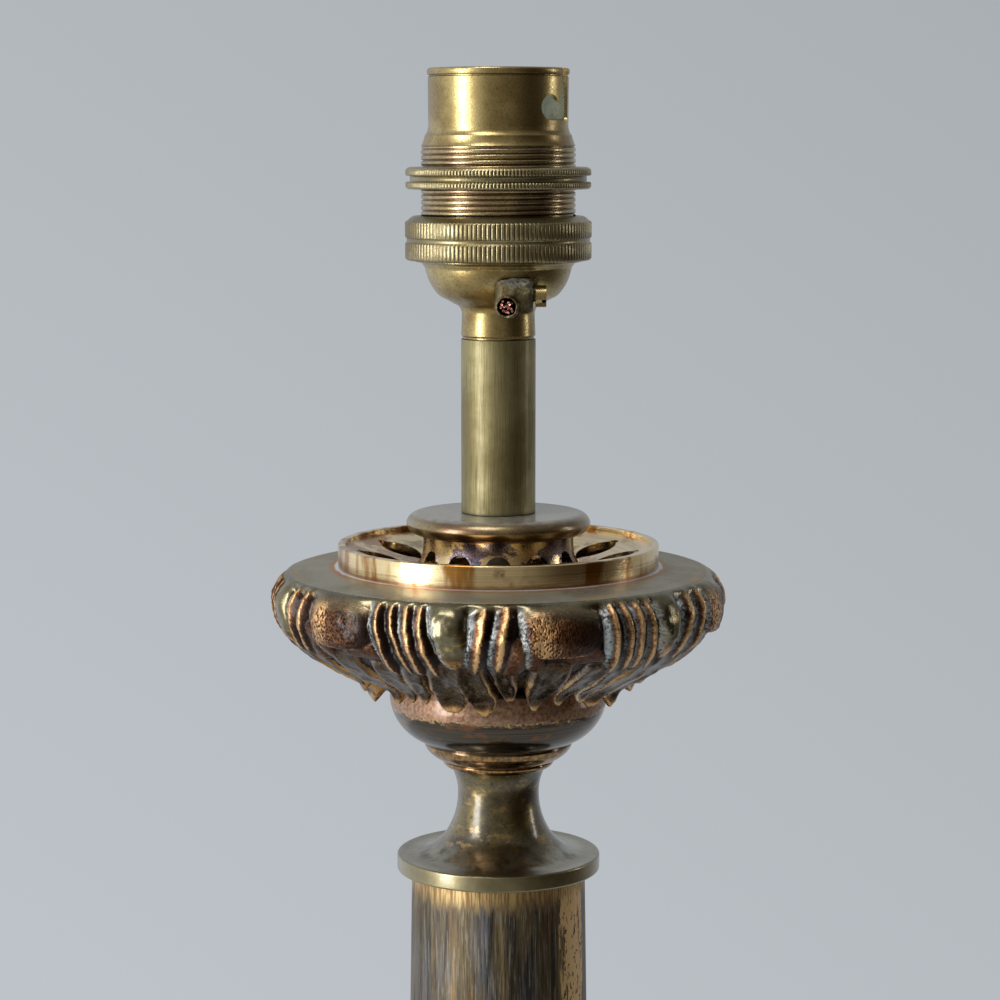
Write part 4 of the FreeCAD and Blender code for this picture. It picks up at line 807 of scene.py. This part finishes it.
# One leaf's raised forms: middle at its start and end (degrees from the midrib), half widths there,
# start and end down the band (0 to 1), rounding of both ends, how far its crest lies under the
# band's outer face at its start and end (mm), squareness of the crest, lean of the crest to the
# right, hollow of its middle, pointedness of its end, chasing (0 smooth, 0.1 to 0.35 hatched more
# and more, 1 punched) and dust, with painted light, on its left slope
FORMS = [
    # the smooth midrib, narrowing like a thumb
    (0, 2.0, 5.6, 3.4, 0, 0.48, 0, 0.22, 0, 0.5, 2.6, 0.1, 0, 0.3, 0, 0.9),
    # two ribs right of it
    (9.4, 6.6, 3.9, 3.5, 0, 0.54, 0.03, 0.14, 0.15, 0.7, 1.35, 0.2, 0, 0.3, 0.3, 0.9),
    (15.4, 12.6, 3.8, 3.3, 0, 0.52, 0.03, 0.14, 0.15, 0.6, 1.35, 0.2, 0, 0.6, 0.3, 0.8),
    (18.2, 16.3, 2.2, 3.6, 0.22, 0.52, 0.1, 0.06, 1.3, 0.8, 2.2, 0, 0, 0, 0.1, 0.1),
    # the broad matted lobe, its lip, the second lip under its right side, a small fold at its left
    (28.6, 29.2, 11.2, 10.2, 0, 0.352, 0, 0.022, 0, 0.1, 2.3, -0.35, 0, 0, 1.0, 0.8),
    (34.8, 37.2, 5.6, 6.5, 0.30, 0.43, 0.05, 0.02, 0.8, 0.9, 2.6, 0.1, 0.25, 0, 0.2, 0),
    (22.4, 23.4, 2.6, 3.4, 0.32, 0.48, 0.03, 0.04, 1.1, 0.9, 2.2, 0, 0.2, 0, 0, 0.9),
    # four ribs right of the lobe, sweeping under the midrib
    (42.0, 44.6, 3.0, 3.2, 0, 0.57, 0.03, 0.12, 0.1, 0.7, 1.35, 0.15, 0, 0.6, 0.35, 1.0),
    (45.6, 49.6, 2.6, 3.0, 0, 0.55, 0.03, 0.12, 0.2, 0.8, 1.35, 0.15, 0, 0.6, 0.3, 0.3),
    (49.4, 53.0, 3.0, 3.2, 0, 0.56, 0.03, 0.12, 0.1, 0.7, 1.35, 0.15, 0, 0.6, 0.35, 0.95),
    (53.2, 57.6, 2.8, 3.2, 0, 0.58, 0.03, 0.12, 0.2, 0.8, 1.4, 0.15, 0, 0.6, 0.25, 0.4),
    # free tips: scoops on both sides of the midrib and between, with smaller ones beside them
    (58.8, 54.8, 4.2, 8.8, 0.40, 0.97, 0.08, 0.13, 0.6, -1.1, 6.0, 0, 0.45, 0, 0, 0.3),
    (5.4, 7.6, 3.8, 7.2, 0.40, 0.99, 0.08, 0.13, 0.6, -1.3, 6.0, 0, 0.45, 0, 0, 0.3),
    (14.2, 17.2, 3.0, 3.8, 0.44, 0.84, 0.06, 0.14, 0.9, -0.3, 4.0, 0, 0.35, 0, 0, 0.2),
    (27.6, 27.8, 5.4, 7.2, 0.42, 0.97, 0.06, 0.26, 0.9, -0.9, 5.0, 0.1, 0.4, 0.6, 0, 0.4),
    (41.0, 37.4, 4.2, 5.8, 0.44, 0.94, 0.08, 0.24, 0.7, -0.6, 5.0, 0.1, 0.35, 0.5, 0, 0.5),
    (49.4, 45.2, 3.2, 3.8, 0.46, 0.90, 0.08, 0.16, 0.8, -0.8, 4.0, 0, 0.3, 0, 0, 0.8),
]


def smooth_rise(value, low, high):
    """0 below low, 1 above high, smooth between."""
    share = min(1.0, max(0.0, (value - low) / (high - low)))
    return share * share * (3 - 2 * share)


def leaf_relief(turn, t):
    """Height of the band off its outer face in mm (below 0 is under it), with crest (brighter on
    the left as painted light), chasing, dust (with painted light on left slopes) and smooth-metal
    shares, at a turn and a share t of the way down."""
    local = (turn - LEAF_TURN) % LEAF_SHARE
    leaf = int(((turn - LEAF_TURN) % 360.0) // LEAF_SHARE)
    depth = GROOVE + 0.9 * smooth_rise(t, 0.45, 1.0)
    best, crest, chasing, dust, bare = -depth, 0.0, 0.0, 0.0, 0.0
    for index, (top, low, wide, narrow, start, end, start_round, end_round, lift, sink, square,
                lean, hollow, point, chased, dust_and_lit_slope) in enumerate(FORMS):
        if t < start or t >= end:
            continue
        tip, rib = end > TIP_END, square <= RIB_SQUARENESS
        # the form's middle and half width here, its ends rounded off or drawn to a point
        flow = (t - start) / (end - start)
        sway = 0.4 * math.sin(5.0 * t + index * 1.7 + leaf * 2.3) * min(1.0, t * 4)
        middle = top + (low - top) * flow ** 1.3 + sway
        half = wide + (narrow - wide) * flow
        closing = 1.0
        if end_round and t > end - end_round:
            gone = (t - end + end_round) / end_round
            closing = math.sqrt(max(0.0, 1 - gone * gone))
            blunt = closing ** 0.8 if tip else 0.35 + 0.65 * closing
            half *= (1 - gone) ** 0.7 * point + (1 - point) * blunt
            if tip:
                closing = 1.0
        if start_round and t < start + start_round:
            closing *= math.sqrt(max(0.0, 1 - (1 - (t - start) / start_round) ** 2))
        # offset from its middle, -1 to 1, and share of the way from its crest to its edge
        offset = (local - middle + LEAF_SHARE / 2) % LEAF_SHARE - LEAF_SHARE / 2
        offset /= max(half, 0.05)
        share = (offset - lean) / (1 - lean) if offset > lean else (lean - offset) / (1 + lean)
        ragged_end = end - 0.06 * offset ** 4 + 0.01 * math.sin(local * 0.8 + leaf)
        if share >= 1.0 or chased == PUNCHED and t > ragged_end:
            continue
        if not rib:
            shape = (1 - share ** square) ** 0.62
        elif offset > lean:
            shape = (1 - share) ** 1.25 * 0.6 + (1 - share ** 2) * 0.4
        else:
            shape = (1 - share) ** 1.1 * 0.5 + (1 - share ** 2) * 0.5
        scooped = hollow * (1 - smooth_rise(t, end - 0.09, end - 0.02)) if tip else hollow
        shape *= closing * (1 - scooped * (1 - share * share))
        level = -depth + (depth - lift - (sink - lift) * flow) * shape
        if level <= best:
            continue
        # the highest form so far gives the looks
        best, chasing = level, chased
        crest = shape
        # painted light: the broad lobe's gold fades away towards its right side
        if chased == PUNCHED:
            crest *= 1 - 0.55 * smooth_rise(offset, -0.6, 0.3)
        # painted light: a rib's gold crest is full on its left, lit side and halved on its right
        if rib:
            crest = smooth_rise(shape, 0.5, 0.98) * (1.05 if offset < lean + 0.1 else 0.5)
        if start > 0.1 and not tip:
            crest *= 0.6
        if tip:
            crest = max(smooth_rise(share, 0.6, 0.82), smooth_rise(t, end - 0.08, end - 0.02))
            crest *= 0.45 + 0.55 * smooth_rise(t, 0.5, 0.75)
        if chased == PUNCHED:
            crest = max(crest, smooth_rise(t, end - 0.03, end - 0.01))
        dust = 0.0
        # dust and painted light: pale only on the form's left slope, which faces the light
        if offset < lean:
            from_edge = (1 + offset) * half
            dust = dust_and_lit_slope * (1 - smooth_rise(from_edge, 0.9, 2.7)) * smooth_rise(shape, 0.0, 0.2)
        dust *= 1 - 0.5 * smooth_rise(t, 0.3, 0.5)
        bare = 1.0 if index == 0 else 0.8 if tip else 0.0
    return best, crest, chasing, dust, bare


def acanthus_band():
    """The cast leaves: a smooth band swept round, then sunk into midribs, ribs, lobes and tips."""
    steps, rows = 1080, 84
    unrolled, back = 40.0, 40.0     # radius of the UV's unrolled band, and where its back lies, mm
    bm = bmesh.new()
    curve = even_path(BAND, rows)
    row_of = bm.verts.layers.int.new("row")
    verts = [bm.verts.new((r, 0, z)) for r, z in curve + BAND_BACK]
    for index, vert in enumerate(verts):
        vert[row_of] = index
    edges = [bm.edges.new(pair) for pair in zip(verts, verts[1:] + verts[:1])]
    sweep(bm, verts + edges, steps, 12)
    uv = bm.loops.layers.uv.new("leaf")
    mask = bm.verts.layers.float_color.new("leaf_mask")
    lengths = path_lengths(curve) + [back] * len(BAND_BACK)
    whole = lengths[rows - 1]
    bm.normal_update()
    for face in bm.faces:
        angles = [math.atan2(loop.vert.co.x, -loop.vert.co.y) for loop in face.loops]
        wrap = max(angles) - min(angles) > math.pi
        for loop, angle in zip(face.loops, angles):
            if wrap and angle < 0:
                angle += 2 * math.pi
            loop[uv].uv = (angle * unrolled, lengths[loop.vert[row_of]])
    moves = {}
    for vert in bm.verts:
        if vert[row_of] >= rows:
            vert[mask] = (0.0, 0.0, 0.0, 0.0)
            continue
        turn = math.degrees(math.atan2(vert.co.x, -vert.co.y))
        t = lengths[vert[row_of]] / whole
        cast = noise.noise(vert.co * 0.35) * 0.3 + noise.noise(vert.co * 1.1) * 0.12
        level, crest, chasing, dust, bare = leaf_relief(turn + cast * 0.8, t)
        set_in = smooth_rise(t, *SHOULDER)
        moves[vert] = vert.normal * (level * set_in + cast * min(1.0, t / 0.15))
        shoulder = 1 - smooth_rise(t + cast * 0.04, 0.03, 0.06 if chasing < 0.8 else 0.16)
        # the mask: crest gold, chasing, dust with painted light on left slopes, smooth metal
        vert[mask] = (
            max(crest, shoulder), chasing * (1 - shoulder), dust * set_in, max(bare, shoulder))
    for vert, move in moves.items():
        vert.co += move
    under = [vert for vert in bm.verts if rows * 0.4 < vert[row_of] < rows - 2]
    for _ in range(2):
        bmesh.ops.smooth_vert(
            bm, verts=under, factor=0.5, use_axis_x=True, use_axis_y=True, use_axis_z=True)
    piece(bm, "acanthus_band", LEAF, ["leaf_pan"])


def path_lengths(path):
    """Distance along a path to each of its points."""
    lengths = [0.0]
    for first, second in zip(path, path[1:]):
        lengths.append(lengths[-1] + math.dist(first, second))
    return lengths


def even_path(points, count):
    """The same path as a smooth line through its points, cut into equal steps."""
    dense = []
    ends = [points[0]] + list(points) + [points[-1]]
    for index in range(len(points) - 1):
        before, start, end, after = ends[index:index + 4]
        for part in range(16):
            s = part / 16
            dense.append(tuple(
                0.5 * (2 * b + (c - a) * s + (2 * a - 5 * b + 4 * c - d) * s * s
                       + (3 * b - a - 3 * c + d) * s ** 3)
                for a, b, c, d in zip(before, start, end, after)))
    dense.append(points[-1])
    lengths = path_lengths(dense)
    made, place = [], 0
    for index in range(count):
        wanted = lengths[-1] * index / (count - 1)
        while place < len(dense) - 2 and lengths[place + 1] < wanted:
            place += 1
        share = (wanted - lengths[place]) / (lengths[place + 1] - lengths[place])
        made.append(tuple(a + (b - a) * share for a, b in zip(dense[place], dense[place + 1])))
    return made


def pan_shell():
    """Turned plate of the pan and its hidden inside, closed against the band and the bowl. All of
    it under the plate's edge is the leaves' bronze."""
    made = turned_piece("pan_plate", [
        (27.7, Z_PLATE), (29.4, Z_PLATE), (36.5, 377.5), (38.32, 377.18), (38.0, 376.6),
        (36.0, 374.5), (34.0, 370.0), (27.0, 365.0), (21.0, 360.6), (20.0, 358.2), (19.4, Z_PAN),
        (5.2, Z_PAN), (5.2, 358.6), (18.0, 358.6), (19.0, 360.8), (26.0, 366.4), (32.5, 371.0),
        (34.0, 375.2), (27.7, 375.2)], PAN, (), 0.1, 192)
    made.data.materials.append(LEAF.data)
    for face in made.data.polygons:
        if face.center.z < 376.0 * MM:
            face.material_index = 1


# -------- build
holder_barrel()
holder_thread()
knurled_shade_ring()
knurled_union_ring()
holder_cup()
cast_post()
wire_strands()
turned_parts()
pan_shell()
acanthus_band()

for finish, names in [
    (GALLERY, ["gallery_ring"]),
    (COLLAR, ["burner_collar"]),
    (PORCELAIN, ["contact_block"]),
    (HOLDER, ["earth_clamp_screw", "cable_bush"]),
    (CONTACT, ["terminal_screws", "column_centring_disc", "contact_sleeve_left",
               "contact_sleeve_right", "contact_plunger_left", "contact_plunger_right"]),
    (STEEL, ["plunger_spring_left", "plunger_spring_right", "threaded_rod", "rod_washer",
             "rod_nut", "base_plate", "base_plate_screws"]),
    (IRON, ["base_weight"]),
    (FELT, ["felt_pad"]),
    (FOOT, ["lamp_foot", "column_base_ring"]),
]:
    for name in names:
        keep(name, finish)


# -------- floor, light and camera
LOOK_HEIGHT = 0.39            # height that the camera and the lights look at, in metres


def pale_floor():
    """Round pale floor under the lamp, 1.2 m across."""
    bm = bmesh.new()
    bmesh.ops.create_circle(bm, cap_ends=True, segments=96, radius=600)
    floor = object_of(bm, "floor")
    m = Finish("pale_floor_paint")
    m.shade(base_color=m.coats("c3c8cc", (m.pattern(0.02, 3.0, 0.5), "cbd0d4")), roughness=0.7)
    floor.data.materials.append(m.data)


def studio_light():
    """A pale room, bright on the left and dim on the right and in front, with the pale wall behind
    that the camera sees; a soft key light from the left."""
    world = bpy.data.worlds.new("studio")
    bpy.context.scene.world = world
    sky = Drawing(world)
    side, deep, up = sky.add(PARTS, sky.add(("TexCoord", {}, (), "Generated")))
    room = sky.coats(
        "352c24", (sky.add(RISE, side, 0.75, 0.1), "8b8780"),
        (sky.add(RISE, deep, 0.05, 0.8, 0.0, 0.85), "b0b4b8"),
        (sky.add(RISE, side, -0.2, -0.8), "e9edf3"),
        (sky.add(RISE, up, 0.35, 0.95, 0.0, 0.6), "b0b4ba"))
    # painted shade: the wall is darker towards the top and the right
    tone = sky.add(PLUS, sky.add(PLUS, 0.298, up, -1.751), side, -1.167)
    wall = sky.coats("aaafb3", (tone, "bec3c9"))
    seen = sky.coats(room, (sky.add(("LightPath", {}, (), "Is Camera Ray")), wall))
    sky.add(("OutputWorld", {}, (0,), None), sky.add(("Background", {}, (0, 1), 0), seen, 1.0))
    # degrees right of the front and up, distance and size in metres, power in watts
    for name, turn, rise, away, size, power in [
        ("key", -60, 6, 1.1, (0.33, 1.1), 11.5),
        ("top", -35, 66, 1.2, (0.5, 0.5), 5.5),
        ("rim", 100, 10, 1.3, (0.10, 0.7), 1.5),
    ]:
        lamp = bpy.data.lights.new(name, "AREA")
        lamp.shape = "RECTANGLE"
        lamp.size, lamp.size_y = size
        lamp.energy = power
        light = show(name, lamp)
        a, e = math.radians(turn), math.radians(rise)
        out = Vector((math.sin(a) * math.cos(e), -math.cos(a) * math.cos(e), math.sin(e)))
        light.location = Vector((0, 0, LOOK_HEIGHT)) + out * away
        light.rotation_mode = "QUATERNION"
        light.rotation_quaternion = out.to_track_quat("Z", "Y")


def camera():
    """The photograph's view: a long lens half a metre away, a little above."""
    lens = bpy.data.cameras.new("camera")
    lens.lens, lens.sensor_width = 99.2, 36.0
    lens.clip_start = 0.01
    view = show("camera", lens)
    down, away, aside = math.radians(7.4), 0.5055, 0.0003
    view.location = (aside, -away * math.cos(down), LOOK_HEIGHT + away * math.sin(down))
    view.rotation_euler = (math.radians(90) - down, 0, 0)
    bpy.context.scene.camera = view


pale_floor()
studio_light()
camera()
bpy.context.scene.view_settings.view_transform = "Standard"
